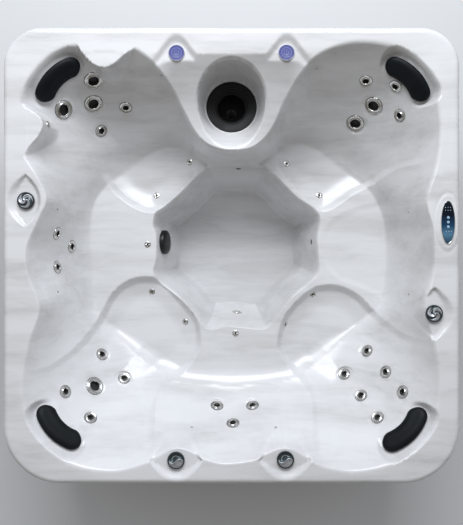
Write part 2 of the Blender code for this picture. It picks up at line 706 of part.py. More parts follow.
def plan_mesh():
    """Points and triangles in plan: along the lines, and an even fill between them."""
    points = []
    edges = []
    for line, closed in plan_lines():
        start = len(points)
        points += [tuple(point) for point in line]
        last = len(line) if closed else len(line) - 1
        edges += [(start + index, start + (index + 1) % len(line)) for index in range(last)]
    fixed = np.array(points)
    outline = rounded_square(0, OUTLINE_STEP)
    columns = np.arange(-HALF.x, HALF.x, FILL_STEP) + FILL_STEP / 2
    rows = np.arange(-HALF.y, HALF.y, FILL_STEP) + FILL_STEP / 2
    fill = np.array([(x, y) for x in columns for y in rows])
    fill = fill[signed_distance(outline, fill) > KEEP_OFF]
    nearest = np.sqrt(((fill[:, None, :] - fixed[None, :, :]) ** 2).sum(2)).min(axis=1)
    points += [tuple(point) for point in fill[nearest > KEEP_OFF]]
    plan, _, triangles, *_ = delaunay_2d_cdt([Vector(point) for point in points], edges, [], 0, CLEARANCE)
    plan = np.array([tuple(point) for point in plan])
    middles = np.array([plan[list(face)].mean(axis=0) for face in triangles])
    kept = np.all([signed_distance(hole, middles) < 0 for hole in holes()], axis=0)
    return plan, [tuple(face) for face, keep in zip(triangles, kept) if keep]


def shell_mesh():
    """The moulded face, its skirt, and the back face one wall behind them."""
    plan, triangles = plan_mesh()
    heights = flattened(plan, moulded_height(plan))
    shape = bmesh.new()
    corners = [shape.verts.new((x, y, z)) for (x, y), z in zip(plan, heights)]
    for face in triangles:
        shape.faces.new([corners[index] for index in face])
    shape.normal_update()
    bmesh.ops.reverse_faces(shape, faces=[face for face in shape.faces if face.normal.z < 0])
    reach = signed_distance(rounded_square(0, OUTLINE_STEP), plan)
    outer = {corner for corner, inside in zip(corners, reach) if inside < CLEARANCE}
    rim = [edge for edge in shape.edges if edge.is_boundary and outer.issuperset(edge.verts)]
    moved = bmesh.ops.extrude_edge_only(shape, edges=rim)
    for corner in moved["geom"]:
        if isinstance(corner, bmesh.types.BMVert):
            corner.co.z = SKIRT_FOOT
    bmesh.ops.delete(shape, geom=[corner for corner in shape.verts if not corner.link_faces], context="VERTS")
    shape.normal_update()
    shape.verts.index_update()
    front = [corner.co.copy() for corner in shape.verts]
    back = [corner.co - corner.normal * SHELL_WALL for corner in shape.verts]
    faces = [[corner.index for corner in face.verts] for face in shape.faces]
    open_edges = []
    for edge in shape.edges:
        if edge.is_boundary:
            loop = edge.link_loops[0]
            open_edges.append((loop.vert.index, loop.link_loop_next.vert.index))
    shape.free()
    count = len(front)
    faces += [[index + count for index in reversed(face)] for face in faces]
    faces += [[end, start, start + count, end + count] for start, end in open_edges]
    return mesh_of("shell", front + back, faces)


def jets():
    """Name, place on the shell and radius of every jet."""
    found = []
    for group, places in JET_SHARES.items():
        for number, (x, y, large) in enumerate(places, 1):
            radius = LARGE_JET_RADIUS if large else SMALL_JET_RADIUS
            found.append((f"{group}_{number}", surface_frame(x * HALF.x, y * HALF.y), radius))
    return found


def knob_frame(name):
    x, y = KNOB_SHARES[name]
    return Matrix.Translation((x * HALF.x, y * HALF.y, HEIGHT - DISH_DEPTH))


def light_frame(name):
    x, y = LIGHT_SHARES[name]
    return Matrix.Translation((x * HALF.x, y * HALF.y, HEIGHT - DISH_DEPTH))


def panel_frame():
    return Matrix.Translation((HALF.x - PANEL_INSET, PANEL_ALONG_SHARE * HALF.y, HEIGHT))


def suction_frame():
    side = -HALF.x * SUCTION_X_SHARE
    return surface_frame(side, SUCTION_Y)


def make_shell(acrylic):
    finish("shell", shell_mesh(), acrylic)


# Jets, valves, lights and the control panel
def jet_mesh(name, radius):
    """A jet insert: a barrel behind a rounded ring round a dished face with a mouth in its middle."""
    barrel = radius * JET_BARREL_SHARE
    mouth = radius * JET_MOUTH_SHARE
    face = radius * JET_FACE_SHARE
    profile = (
        (0, -JET_BARREL_LENGTH), (barrel, -JET_BARREL_LENGTH), (barrel, CLEARANCE), (radius, CLEARANCE),
        (radius, JET_PROUD / 2), (face, JET_PROUD), (mouth, -JET_MOUTH_DEPTH / 2), (0, -JET_MOUTH_DEPTH),
    )
    return turned(name, profile, JET_SIDES)


def make_jets(chrome):
    for name, frame, radius in jets():
        finish(name, jet_mesh(name, radius), chrome, frame)


def capped_stem(radius, height, shares):
    """The profile of a turned cap that stands on the rim over a stem through it."""
    profile = [(0, -KNOB_STEM_LENGTH), (KNOB_STEM_RADIUS, -KNOB_STEM_LENGTH),
               (KNOB_STEM_RADIUS, CLEARANCE), (radius, CLEARANCE)]
    return profile + [(radius * reach, height * rise) for reach, rise in shares]


def knob_mesh(name):
    """A turned cap on a stem, with a ridge that sweeps across its top."""
    profile = capped_stem(KNOB_RADIUS, KNOB_HEIGHT, KNOB_PROFILE_SHARES)
    mesh = turned(name, profile, KNOB_SIDES)
    for corner in mesh.vertices:
        x, y = corner.co.x, corner.co.y
        reach = math.hypot(x, y)
        if corner.co.z > KNOB_HEIGHT / 2 and reach < KNOB_RADIUS * CREST_REACH_SHARE:
            ridge = KNOB_RADIUS * CREST_SWEEP_SHARE * math.sin(math.pi * x / KNOB_RADIUS)
            corner.co.z += CREST_HEIGHT * math.exp(-((y - ridge) / CREST_WIDTH) ** 2)
    return mesh


def make_knobs(silver):
    for name in KNOB_SHARES:
        full = f"{name}_knob"
        finish(full, knob_mesh(full), silver, knob_frame(name))


def make_lights(lens):
    profile = capped_stem(LIGHT_RADIUS, LIGHT_HEIGHT, LIGHT_PROFILE_SHARES)
    for name in LIGHT_SHARES:
        full = f"{name}_light"
        finish(full, turned(full, profile, KNOB_SIDES), lens, light_frame(name))


def button_frames():
    """The push buttons stand in a row along the control panel."""
    frames = []
    for number in range(BUTTONS):
        along = (number - (BUTTONS - 1) / 2) * BUTTON_SPACING
        frames.append(panel_frame() @ Matrix.Translation((0, along, PANEL_HEIGHT)))
    return frames


def make_control_panel(dark, pale):
    low = [(x, y, CLEARANCE) for x, y in oval((0, 0), PANEL_HALF_WIDTH, PANEL_HALF_LENGTH, ROUND_SIDES)]
    stem_x, stem_y = PANEL_HALF_WIDTH * PANEL_STEM_SHARE, PANEL_HALF_LENGTH * PANEL_STEM_SHARE
    rings = [
        [(x, y, -PANEL_STEM_DEPTH) for x, y in oval((0, 0), stem_x, stem_y, ROUND_SIDES)],
        [(x, y, CLEARANCE) for x, y in oval((0, 0), stem_x, stem_y, ROUND_SIDES)],
        low,
        [(x, y, PANEL_HEIGHT * PANEL_EDGE_SHARE) for x, y, _ in low],
        [(x * PANEL_TOP_SHARES[0], y * PANEL_TOP_SHARES[1], PANEL_HEIGHT) for x, y, _ in low],
    ]
    panel = finish("control_panel", loft("control_panel", rings), dark, panel_frame())
    pocket = turned("pocket", ((0, -BUTTON_POCKET), (BUTTON_RADIUS + CLEARANCE, -BUTTON_POCKET),
                               (BUTTON_RADIUS + CLEARANCE, BUTTON_POCKET), (0, BUTTON_POCKET)), PIPE_SIDES)
    boolean(panel, joined("pockets", [(pocket, frame) for frame in button_frames()]))
    bottom = BUTTON_TRAVEL + CLEARANCE - BUTTON_POCKET
    profile = ((0, bottom), (BUTTON_RADIUS, bottom), (BUTTON_RADIUS, BUTTON_TRAVEL / 2),
               (BUTTON_RADIUS * BUTTON_TOP_SHARE, BUTTON_TRAVEL), (0, BUTTON_TRAVEL))
    for number, frame in enumerate(button_frames(), 1):
        name = f"panel_button_{number}"
        finish(name, turned(name, profile, PIPE_SIDES), pale, frame)


# Pillows, crowned and drawn in to a flat back
def pillow_mesh(name):
    radius, half_angle, below = pillow_arc()
    over = PILLOW_HALF_WIDTH / radius
    rings = []
    for step in range(PILLOW_RINGS + 1):
        swing = -math.cos(math.pi * step / PILLOW_RINGS) * PILLOW_END_SHARE
        angle = swing * (half_angle + over)
        past = max(0, abs(angle) - half_angle) / over
        half = PILLOW_HALF_WIDTH * math.sqrt(max(0, 1 - past ** 2))
        ring = []
        for index in range(PILLOW_POINTS):
            turn = 2 * math.pi * index / PILLOW_POINTS
            side, rise = math.cos(turn), math.sin(turn)
            crown = PILLOW_CROWN * math.sqrt(half / PILLOW_HALF_WIDTH)
            widest = crown * PILLOW_SIDE_SHARE
            above = crown - widest if rise > 0 else widest / PILLOW_TURN_SHARE
            height = widest + above * rise
            reach = radius + side * half * (1 + PILLOW_TUCK_SHARE * min(rise, 0))
            ring.append((reach * math.sin(angle), reach * math.cos(angle) - below,
                         max(height, 0) + CLEARANCE * 2))
        rings.append(ring)
    return loft(name, rings)


def make_pillows(black):
    for name in PILLOW_SHARES:
        full = f"{name}_pillow"
        finish(full, pillow_mesh(full), black, pillow_frame(name), 60)


# Skimmer filter behind the footwell
def make_filter(black, grey, white):
    under = WELL_HEIGHT - SHELL_WALL - CLEARANCE
    bore = WEIR_RADIUS + CLEARANCE
    outer = bore + CANISTER_WALL
    foot = BASE_HEIGHT + CANISTER_LIFT
    canister = (
        (0, foot), (outer, foot), (outer, under - CANISTER_WALL),
        (outer + CANISTER_FLANGE, under - CANISTER_WALL), (outer + CANISTER_FLANGE, under),
        (bore, under), (bore, foot + CANISTER_WALL), (0, foot + CANISTER_WALL),
    )
    frame = Matrix.Translation((0, WELL_Y, 0))
    finish("filter_canister", turned("filter_canister", canister, ROUND_SIDES), grey, frame)
    seat = foot + CANISTER_WALL + CLEARANCE
    low = WELL_HEIGHT - WEIR_HEIGHT
    top = low - CARTRIDGE_GAP
    cartridge = ((CARTRIDGE_BORE, seat), (CARTRIDGE_RADIUS, seat), (CARTRIDGE_RADIUS, top),
                 (CARTRIDGE_BORE, top))
    finish("filter_cartridge", turned("filter_cartridge", cartridge, ROUND_SIDES), white, frame)
    weir = (
        (WEIR_HOLE_RADIUS, low), (WEIR_RADIUS, low), (WEIR_RADIUS, WELL_HEIGHT + WEIR_LIP),
        (WEIR_RADIUS - WEIR_LIP, WELL_HEIGHT + WEIR_LIP),
        (WEIR_RADIUS * WEIR_FUNNEL_SHARE, WELL_HEIGHT - WEIR_LIP),
        (WEIR_HOLE_RADIUS, WELL_HEIGHT - WEIR_HEIGHT / 2),
    )
    finish("skimmer_weir", turned("skimmer_weir", weir, ROUND_SIDES), black, frame)


def make_suction_cover(black):
    profile = [(0, -SUCTION_STEM_LENGTH), (SUCTION_STEM_RADIUS, -SUCTION_STEM_LENGTH),
               (SUCTION_STEM_RADIUS, CLEARANCE), (SUCTION_RADIUS, CLEARANCE)]
    profile += [(SUCTION_RADIUS * reach, SUCTION_HEIGHT * rise) for reach, rise in SUCTION_PROFILE_SHARES]
    finish("suction_cover", turned("suction_cover", profile, KNOB_SIDES), black, suction_frame())


# Cabinet: a base pan, four planked panels and four rounded corner posts
def panel_profile(low, high):
    """Depth and height of a planked panel's section, its face outwards, from the bottom."""
    plank = (high - low) / PLANKS
    section = [(0, low)]
    for number in range(1, PLANKS):
        middle = low + plank * number
        section += [(0, middle - GROOVE_WIDTH / 2), (GROOVE_DEPTH, middle), (0, middle + GROOVE_WIDTH / 2)]
    return section + [(0, high), (PANEL_WALL, high), (PANEL_WALL, low)]


def make_cabinet(wood, black, foam):
    base = prism("base_pan", rounded_square(CABINET_INSET, OUTLINE_STEP), 0, BASE_HEIGHT)
    finish("base_pan", base, black)
    low = BASE_HEIGHT + CLEARANCE
    high = HEIGHT - SHELL_WALL - RIM_SAG
    sides = (
        ("front_panel", 0, HALF.y, HALF.x - FRONT_CORNER_RADIUS, HALF.x - FRONT_CORNER_RADIUS),
        ("right_panel", 1, HALF.x, HALF.y - FRONT_CORNER_RADIUS, HALF.y - BACK_CORNER_RADIUS),
        ("back_panel", 2, HALF.y, HALF.x - BACK_CORNER_RADIUS, HALF.x - BACK_CORNER_RADIUS),
        ("left_panel", 3, HALF.x, HALF.y - BACK_CORNER_RADIUS, HALF.y - FRONT_CORNER_RADIUS),
    )
    for name, quarter, reach, before, after in sides:
        section = panel_profile(low, high)
        ends = (-before + POST_GAP, after - POST_GAP)
        rings = [[(along, depth + CABINET_INSET - reach, height) for depth, height in section]
                 for along in reversed(ends)]
        frame = Matrix.Rotation(quarter * math.pi / 2, 4, "Z")
        finish(name, loft(name, rings), wood, frame)
    posts = (("front_left", -1, -1, FRONT_CORNER_RADIUS), ("front_right", 1, -1, FRONT_CORNER_RADIUS),
             ("back_left", -1, 1, BACK_CORNER_RADIUS), ("back_right", 1, 1, BACK_CORNER_RADIUS))
    for name, side_x, side_y, radius in posts:
        outline = []
        for edge, steps in ((CABINET_INSET, range(POST_TURNS + 1)),
                            (CABINET_INSET + PANEL_WALL, range(POST_TURNS, -1, -1))):
            for step in steps:
                angle = step / POST_TURNS * math.pi / 2
                outline.append((side_x * (HALF.x - radius + (radius - edge) * math.cos(angle)),
                                side_y * (HALF.y - radius + (radius - edge) * math.sin(angle))))
        post = prism(f"{name}_post", outline, low, high)
        finish(f"{name}_post", post, black)
    half = SUPPORT_SIDE / 2
    finish("floor_support", box("floor_support", (-half, -half, low),
                                (half, half, FLOOR_HEIGHT - SHELL_WALL - CLEARANCE)), foam)


# Equipment on the base pan, under the front bench
def along_x(x, y, z):
    """A frame whose Z runs along +X."""
    return Matrix.Translation((x, y, z)) @ Matrix.Rotation(math.pi / 2, 4, "Y")


def make_pump(black):
    floor = BASE_HEIGHT + CLEARANCE
    axis = floor + PUMP_FOOT_HEIGHT + VOLUTE_RADIUS
    profile = ((0, 0), (PUMP_INLET_RADIUS, 0), (PUMP_INLET_RADIUS, PUMP_INLET_LENGTH),
               (VOLUTE_RADIUS, PUMP_INLET_LENGTH), (VOLUTE_RADIUS, PUMP_INLET_LENGTH + VOLUTE_LENGTH),
               (MOTOR_RADIUS, PUMP_INLET_LENGTH + VOLUTE_LENGTH),
               (MOTOR_RADIUS, PUMP_INLET_LENGTH + VOLUTE_LENGTH + MOTOR_LENGTH),
               (0, PUMP_INLET_LENGTH + VOLUTE_LENGTH + MOTOR_LENGTH))
    pump = finish("pump", turned("pump", profile, ROUND_SIDES * 3 // 4), black,
                  along_x(PUMP_X - PUMP_INLET_LENGTH, PUMP_Y, axis))
    foot = box("foot", (PUMP_X + MOTOR_RADIUS / 2, PUMP_Y - MOTOR_RADIUS, floor),
               (PUMP_X + VOLUTE_LENGTH + MOTOR_LENGTH / 2, PUMP_Y + MOTOR_RADIUS, axis - MOTOR_RADIUS / 2))
    boolean(pump, foot, operation="UNION")


def make_heater(steel):
    floor = BASE_HEIGHT + CLEARANCE
    flange = HEATER_RADIUS + PUMP_FOOT_HEIGHT / 2
    end = HEATER_END_LENGTH
    profile = ((0, 0), (flange, 0), (flange, end), (HEATER_RADIUS, end), (HEATER_RADIUS, HEATER_LENGTH - end),
               (flange, HEATER_LENGTH - end), (flange, HEATER_LENGTH), (0, HEATER_LENGTH))
    heater = finish("heater", turned("heater", profile, PIPE_SIDES * 2), steel,
                    along_x(HEATER_X, HEATER_Y, HEATER_HEIGHT))
    stand = box("stand", (HEATER_X + end * 2, HEATER_Y - PUMP_FOOT_HEIGHT / 2, floor),
                (HEATER_X + HEATER_LENGTH - end * 2, HEATER_Y + PUMP_FOOT_HEIGHT / 2, HEATER_HEIGHT))
    boolean(heater, stand, operation="UNION")


def make_control_pack(grey):
    floor = BASE_HEIGHT + CLEARANCE
    middle = HEATER_X + HEATER_LENGTH / 2
    low = (middle - CONTROL_WIDTH / 2, CONTROL_Y - CONTROL_DEPTH / 2, floor)
    high = (middle + CONTROL_WIDTH / 2, CONTROL_Y + CONTROL_DEPTH / 2, floor + CONTROL_HEIGHT)
    finish("control_pack", box("control_pack", low, high), grey)


def make_suction_pipe(white):
    """The pipe from the suction cover's stem, round under the seats, to the pump's inlet."""
    start = suction_frame() @ Vector((0, 0, -SUCTION_STEM_LENGTH - CLEARANCE))
    into = (suction_frame().to_3x3() @ Vector((0, 0, -1))).normalized()
    axis = BASE_HEIGHT + CLEARANCE + PUMP_FOOT_HEIGHT + VOLUTE_RADIUS
    finish_at = Vector((PUMP_X - PUMP_INLET_LENGTH - CLEARANCE, PUMP_Y, axis))
    route = [start, start + into * PIPE_LEAD]
    route += [Vector((x * HALF.x, y * HALF.y, z * HALF.z)) for x, y, z in PIPE_SHARES]
    route += [finish_at - Vector((PIPE_LEAD, 0, 0)), finish_at]
    curve = bpy.data.curves.new("suction_pipe", "CURVE")
    curve.dimensions = "3D"
    curve.bevel_depth = PIPE_RADIUS
    curve.bevel_resolution = 2
    curve.use_fill_caps = True
    samples = [route[0]]
    for index in range(1, len(route) - 2):
        near = route[index - 1:index + 3]
        samples += [curve_point(*near, step / PIPE_STEPS) for step in range(PIPE_STEPS)]
    samples += route[-2:]
    spline = curve.splines.new("POLY")
    spline.points.add(len(samples) - 1)
    for point, place in zip(spline.points, samples):
        point.co = (*place, 1)
    curve.materials.append(white)
    pipe = bpy.data.objects.new("suction_pipe", curve)
    bpy.context.collection.objects.link(pipe)


def main():
    clear_scene()
    acrylic = material("acrylic", (0.86, 0.87, 0.89), 0.18)
    black = material("black_plastic", (0.02, 0.022, 0.025), 0.4)
    foam = material("pillow_foam", (0.012, 0.014, 0.018), 0.5)
    chrome = material("chrome", (0.72, 0.72, 0.7), 0.15, 1.0)
    silver = material("silver_plastic", (0.35, 0.37, 0.4), 0.25, 0.6)
    lens = material("violet_lens", (0.2, 0.22, 0.5), 0.2)
    screen = material("panel_screen", (0.03, 0.09, 0.18), 0.15)
    pale = material("button_plastic", (0.4, 0.6, 0.75), 0.3)
    wood = material("cabinet_plank", (0.16, 0.13, 0.11), 0.6)
    grey = material("grey_plastic", (0.3, 0.31, 0.32), 0.5)
    white = material("white_plastic", (0.7, 0.7, 0.68), 0.45)
    steel = material("steel", (0.6, 0.6, 0.6), 0.3, 1.0)
    make_shell(acrylic)
    make_jets(chrome)
    make_knobs(silver)
    make_lights(lens)
    make_control_panel(screen, pale)
    make_pillows(foam)
    make_filter(black, grey, white)
    make_suction_cover(black)
    make_cabinet(wood, black, white)
    make_pump(black)
    make_heater(steel)
    make_control_pack(grey)
    make_suction_pipe(white)


main()
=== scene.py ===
# Hot tub from above: a moulded, marbled acrylic shell with its jets, pillows, valves, lights, panel and
# filter, in a planked cabinet. Metres, +Z up, -Y the front.
import json
import math

import bmesh
import bpy
import numpy as np
from mathutils import Matrix, Vector
from mathutils.geometry import delaunay_2d_cdt


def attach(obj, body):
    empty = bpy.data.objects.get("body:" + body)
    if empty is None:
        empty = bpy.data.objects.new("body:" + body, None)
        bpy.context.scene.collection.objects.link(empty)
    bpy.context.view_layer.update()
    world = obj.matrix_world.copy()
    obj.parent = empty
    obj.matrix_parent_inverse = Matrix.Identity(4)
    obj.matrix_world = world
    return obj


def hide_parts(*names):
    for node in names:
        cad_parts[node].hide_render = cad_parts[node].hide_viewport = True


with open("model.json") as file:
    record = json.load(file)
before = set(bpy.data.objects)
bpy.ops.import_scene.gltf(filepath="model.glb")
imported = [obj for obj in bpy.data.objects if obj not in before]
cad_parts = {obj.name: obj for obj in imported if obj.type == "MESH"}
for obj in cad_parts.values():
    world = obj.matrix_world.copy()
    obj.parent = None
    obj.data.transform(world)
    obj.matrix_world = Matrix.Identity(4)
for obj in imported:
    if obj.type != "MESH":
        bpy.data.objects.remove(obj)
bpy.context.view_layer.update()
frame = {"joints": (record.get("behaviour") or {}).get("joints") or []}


# ---- meshes, objects and materials that every piece uses
def meshFrom(name, points, faces):
    mesh = bpy.data.meshes.new(name)
    mesh.from_pydata([tuple(map(float, point)) for point in points], [], faces)
    mesh.validate()
    return mesh


def outwards(mesh, merge=0.00002):
    # merges doubles and turns every face outwards, for closed shapes
    shape = bmesh.new()
    shape.from_mesh(mesh)
    bmesh.ops.remove_doubles(shape, verts=shape.verts, dist=merge)
    bmesh.ops.recalc_face_normals(shape, faces=shape.faces)
    shape.to_mesh(mesh)
    shape.free()
    return mesh


def place(name, mesh, body, look, replaced=(), sharp=35):
    if look is not None:
        mesh.materials.clear()
        mesh.materials.append(look)
    if sharp:
        mesh.shade_smooth()
        mesh.set_sharp_from_angle(angle=math.radians(sharp))
    piece = bpy.data.objects.new(name, mesh)
    bpy.context.collection.objects.link(piece)
    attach(piece, body)
    if replaced:
        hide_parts(*replaced)
    return piece


def loftMesh(name, rings, capped=True):
    count = len(rings[0])
    faces = [tuple(reversed(range(count)))] if capped else []
    for ring in range(len(rings) - 1):
        low, high = ring * count, (ring + 1) * count
        faces += [(low + i, low + (i + 1) % count, high + (i + 1) % count, high + i) for i in range(count)]
    if capped:
        faces.append(tuple(range(len(rings) * count - count, len(rings) * count)))
    return meshFrom(name, [point for ring in rings for point in ring], faces)


def latheMesh(name, profile, sides, matrix=None, change=None):
    # (radius, height) points turned about Z: a profile off the axis closes into a ring
    angles = np.linspace(0, 2 * math.pi, sides, endpoint=False)
    points, rings, faces = [], [], []
    for radius, height in profile:
        start = len(points)
        if radius < 1e-6:
            points.append((0, 0, height))
            rings.append([start] * sides)
            continue
        for angle in angles:
            reach, rise = change(radius, height, angle) if change else (radius, height)
            points.append((reach * math.cos(angle), reach * math.sin(angle), rise))
        rings.append(list(range(start, start + sides)))
    pairs = list(zip(rings, rings[1:]))
    if profile[0][0] > 1e-6:
        pairs.append((rings[-1], rings[0]))
    for low, high in pairs:
        for index in range(sides):
            after = (index + 1) % sides
            corners = (low[index], low[after], high[after], high[index])
            kept = tuple(dict.fromkeys(corners))
            if len(kept) > 2:
                faces.append(kept)
    mesh = meshFrom(name, points, faces)
    if matrix is not None:
        mesh.transform(matrix)
    return mesh


def reliefMesh(name, shares, sides, outline, top, bottom, matrix=None):
    # a closed cap: rings at shares of an outline, their heights from top(x, y), over a flat bottom
    points, faces = [(0, 0, top(0, 0))], []
    angles = np.linspace(0, 2 * math.pi, sides, endpoint=False)
    for share in shares:
        for angle in angles:
            x, y = (share * value for value in outline(angle))
            points.append((x, y, top(x, y)))
    for angle in angles:
        points.append((*outline(angle), bottom))
    points.append((0, 0, bottom))
    faces += [(0, 1 + i, 1 + (i + 1) % sides) for i in range(sides)]
    for ring in range(len(shares)):
        low, high = 1 + ring * sides, 1 + (ring + 1) * sides
        faces += [(low + i, high + i, high + (i + 1) % sides, low + (i + 1) % sides) for i in range(sides)]
    last = 1 + len(shares) * sides
    faces += [(len(points) - 1, last + (i + 1) % sides, last + i) for i in range(sides)]
    mesh = meshFrom(name, points, faces)
    if matrix is not None:
        mesh.transform(matrix)
    return mesh


def joinMeshes(name, meshes):
    shape = bmesh.new()
    for mesh in meshes:
        shape.from_mesh(mesh)
    result = bpy.data.meshes.new(name)
    shape.to_mesh(result)
    shape.free()
    return result


def addNode(tree, kind, links=None, **settings):
    made = tree.nodes.new(kind)
    for key, value in settings.items():
        setattr(made, key, value)
    for key, value in (links or {}).items():
        if isinstance(value, bpy.types.NodeSocket):
            tree.links.new(value, made.inputs[key])
        else:
            made.inputs[key].default_value = value
    return made


def newGroup(name, kind, inputs, outputs):
    tree = bpy.data.node_groups.new(name, kind)
    for label, socketType, value in inputs:
        socket = tree.interface.new_socket(label, in_out="INPUT", socket_type=socketType)
        if value is not None:
            socket.default_value = value
    for label, socketType in outputs:
        tree.interface.new_socket(label, in_out="OUTPUT", socket_type=socketType)
    return tree, tree.nodes.new("NodeGroupInput"), tree.nodes.new("NodeGroupOutput")


def colourRamp(tree, factor, *stops):
    ramp = addNode(tree, "ShaderNodeValToRGB", {0: factor})
    elements = ramp.color_ramp.elements
    while len(elements) < len(stops):
        elements.new(0.5)
    for element, (position, colour) in zip(elements, stops):
        element.position = position
        element.color = (*colour, 1)
    return ramp.outputs[0]


def newLook(name, colour, roughness, metallic=0.0, **more):
    look = bpy.data.materials.new(name)
    look.use_nodes = True
    tree = look.node_tree
    shader = tree.nodes["Principled BSDF"]
    shader.inputs["Base Color"].default_value = (*colour, 1)
    shader.inputs["Roughness"].default_value = roughness
    shader.inputs["Metallic"].default_value = metallic
    for label, value in more.items():
        shader.inputs[label.replace("_", " ")].default_value = value
    here = addNode(tree, "ShaderNodeTexCoord").outputs["Object"]
    return look, tree, shader, here


def useGroup(tree, group, links):
    made = addNode(tree, "ShaderNodeGroup", node_tree=group)
    for key, value in links.items():
        if isinstance(value, bpy.types.NodeSocket):
            tree.links.new(value, made.inputs[key])
        else:
            made.inputs[key].default_value = value
    return made.outputs


def calculated(tree, operation, first, second=None):
    # one step of a sum, as the socket that it puts out
    values = {0: first} if second is None else {0: first, 1: second}
    return addNode(tree, "ShaderNodeMath", values, operation=operation).outputs[0]


def mapped(tree, value, low=0.0, high=1.0, start=0.0, end=1.0):
    # a value carried from one range to another
    return addNode(tree, "ShaderNodeMapRange", {0: value, 1: low, 2: high, 3: start, 4: end}).outputs[0]


def blended(tree, share, first, second, way="MIX"):
    # two colours, each a value or a socket, mixed in one node
    first, second = ((*value, 1) if isinstance(value, tuple) else value for value in (first, second))
    return addNode(tree, "ShaderNodeMix", {0: share, 6: first, 7: second}, data_type="RGBA",
                   blend_type=way).outputs[2]


def finishWith(tree, shader, colour, roughness, height, strength, distance):
    # what every look ends with: its colour, its roughness and a bump
    tree.links.new(colour, shader.inputs["Base Color"])
    tree.links.new(roughness, shader.inputs["Roughness"])
    bumpFrom(tree, shader, height, strength, distance)


def bumpFrom(tree, shader, height, strength, distance):
    bump = addNode(tree, "ShaderNodeBump", {"Strength": strength, "Distance": distance, "Height": height})
    tree.links.new(bump.outputs[0], shader.inputs["Normal"])


# shared finish: a fine moulded skin, as colour shift, roughness and height
mouldedSkin, gIn, gOut = newGroup("mouldedSkin", "ShaderNodeTree",
                                  [("Vector", "NodeSocketVector", None), ("Grain", "NodeSocketFloat", 900.0),
                                   ("Patch", "NodeSocketFloat", 14.0)],
                                  [("Shade", "NodeSocketFloat"), ("Height", "NodeSocketFloat")])
fineGrain = addNode(mouldedSkin, "ShaderNodeTexNoise",
                    {"Vector": gIn.outputs[0], "Scale": gIn.outputs[1], "Detail": 2.0})
broadPatch = addNode(mouldedSkin, "ShaderNodeTexNoise",
                     {"Vector": gIn.outputs[0], "Scale": gIn.outputs[2], "Detail": 3.0})
skinShade = mapped(mouldedSkin, broadPatch.outputs[0], 0.3, 0.7, 0.0, 1.0)
mouldedSkin.links.new(skinShade, gOut.inputs[0])
mouldedSkin.links.new(fineGrain.outputs[0], gOut.inputs[1])


def plasticLook(name, light, dark, roughness, grain=900.0, depth=0.00005, metallic=0.0, **more):
    # moulded plastic or painted metal: two close shades in soft patches over a fine grain
    look, tree, shader, here = newLook(name, light, roughness[0], metallic, **more)
    shade, height = useGroup(tree, mouldedSkin, {"Vector": here, "Grain": grain})[:2]
    finishWith(tree, shader, colourRamp(tree, shade, (0.0, dark), (1.0, light)),
               mapped(tree, shade, start=roughness[0], end=roughness[1]), height, 0.4, depth)
    return look


# ---- camera and light
camera = {"height": 3.9, "focalPixels": 688.0, "frameHeight": 525.0, "shiftPixels": 7.0}
eye = bpy.data.cameras.new("photoCamera")
eye.sensor_fit = "VERTICAL"
eye.sensor_height = 24.0
eye.lens = camera["focalPixels"] / camera["frameHeight"] * eye.sensor_height
eye.shift_y = -camera["shiftPixels"] / camera["frameHeight"]
eyeObject = bpy.data.objects.new("photoCamera", eye)
eyeObject.location = (0, 0, camera["height"])
bpy.context.collection.objects.link(eyeObject)
bpy.context.scene.camera = eyeObject

studio = {
    "worldStrength": 0.4, "frontSky": (0.4, 0.35, 0.28), "backSky": (1.48, 1.55, 1.67),
    "skyWay": (0.2, 0.98, 0.0),
    "keyEnergy": 218.0, "keyPlace": (-0.1, 3.4, 4.15), "keySize": (3.6, 2.0), "keyColour": (0.925, 0.96, 1.0),
    "fillEnergy": 3.0, "fillPlace": (-3.2, -2.6, 3.6), "fillSize": (2.2, 2.2),
    "fillColour": (1.0, 0.97, 0.93),
}


def softLamp(name, energy, spot, size, colour, target=(0, 0, 0.6)):
    lamp = bpy.data.lights.new(name, "AREA")
    lamp.energy = energy
    lamp.shape = "RECTANGLE"
    lamp.size, lamp.size_y = size
    lamp.color = colour
    holder = bpy.data.objects.new(name, lamp)
    holder.matrix_world = (Matrix.Translation(spot)
                           @ (Vector(target) - Vector(spot)).to_track_quat("-Z", "Y").to_matrix().to_4x4())
    bpy.context.collection.objects.link(holder)


softLamp("keyLamp", studio["keyEnergy"], studio["keyPlace"], studio["keySize"], studio["keyColour"])
softLamp("fillLamp", studio["fillEnergy"], studio["fillPlace"], studio["fillSize"], studio["fillColour"])
world = bpy.data.worlds.new("studio")
bpy.context.scene.world = world
world.use_nodes = True
sky = world.node_tree.nodes["Background"]
sky.inputs["Strength"].default_value = studio["worldStrength"]
skyWay = addNode(world.node_tree, "ShaderNodeVectorMath", {
    0: addNode(world.node_tree, "ShaderNodeTexCoord").outputs["Generated"], 1: studio["skyWay"]},
    operation="DOT_PRODUCT")
world.node_tree.links.new(colourRamp(world.node_tree, addNode(world.node_tree, "ShaderNodeMapRange", {
    0: skyWay.outputs["Value"], 1: -1.0, 2: 1.0}).outputs[0], (0.15, studio["frontSky"]),
    (0.85, studio["backSky"])),
    sky.inputs["Color"])
paleSky = addNode(world.node_tree, "ShaderNodeBackground", {"Color": (0.93, 0.94, 0.95, 1), "Strength": 1.0})
seen = addNode(world.node_tree, "ShaderNodeLightPath")
skyMix = addNode(world.node_tree, "ShaderNodeMixShader", {0: seen.outputs["Is Camera Ray"], 1: sky.outputs[0],
                                                          2: paleSky.outputs[0]})
world.node_tree.links.new(skyMix.outputs[0], world.node_tree.nodes["World Output"].inputs[0])
bpy.context.scene.view_settings.view_transform = "Standard"

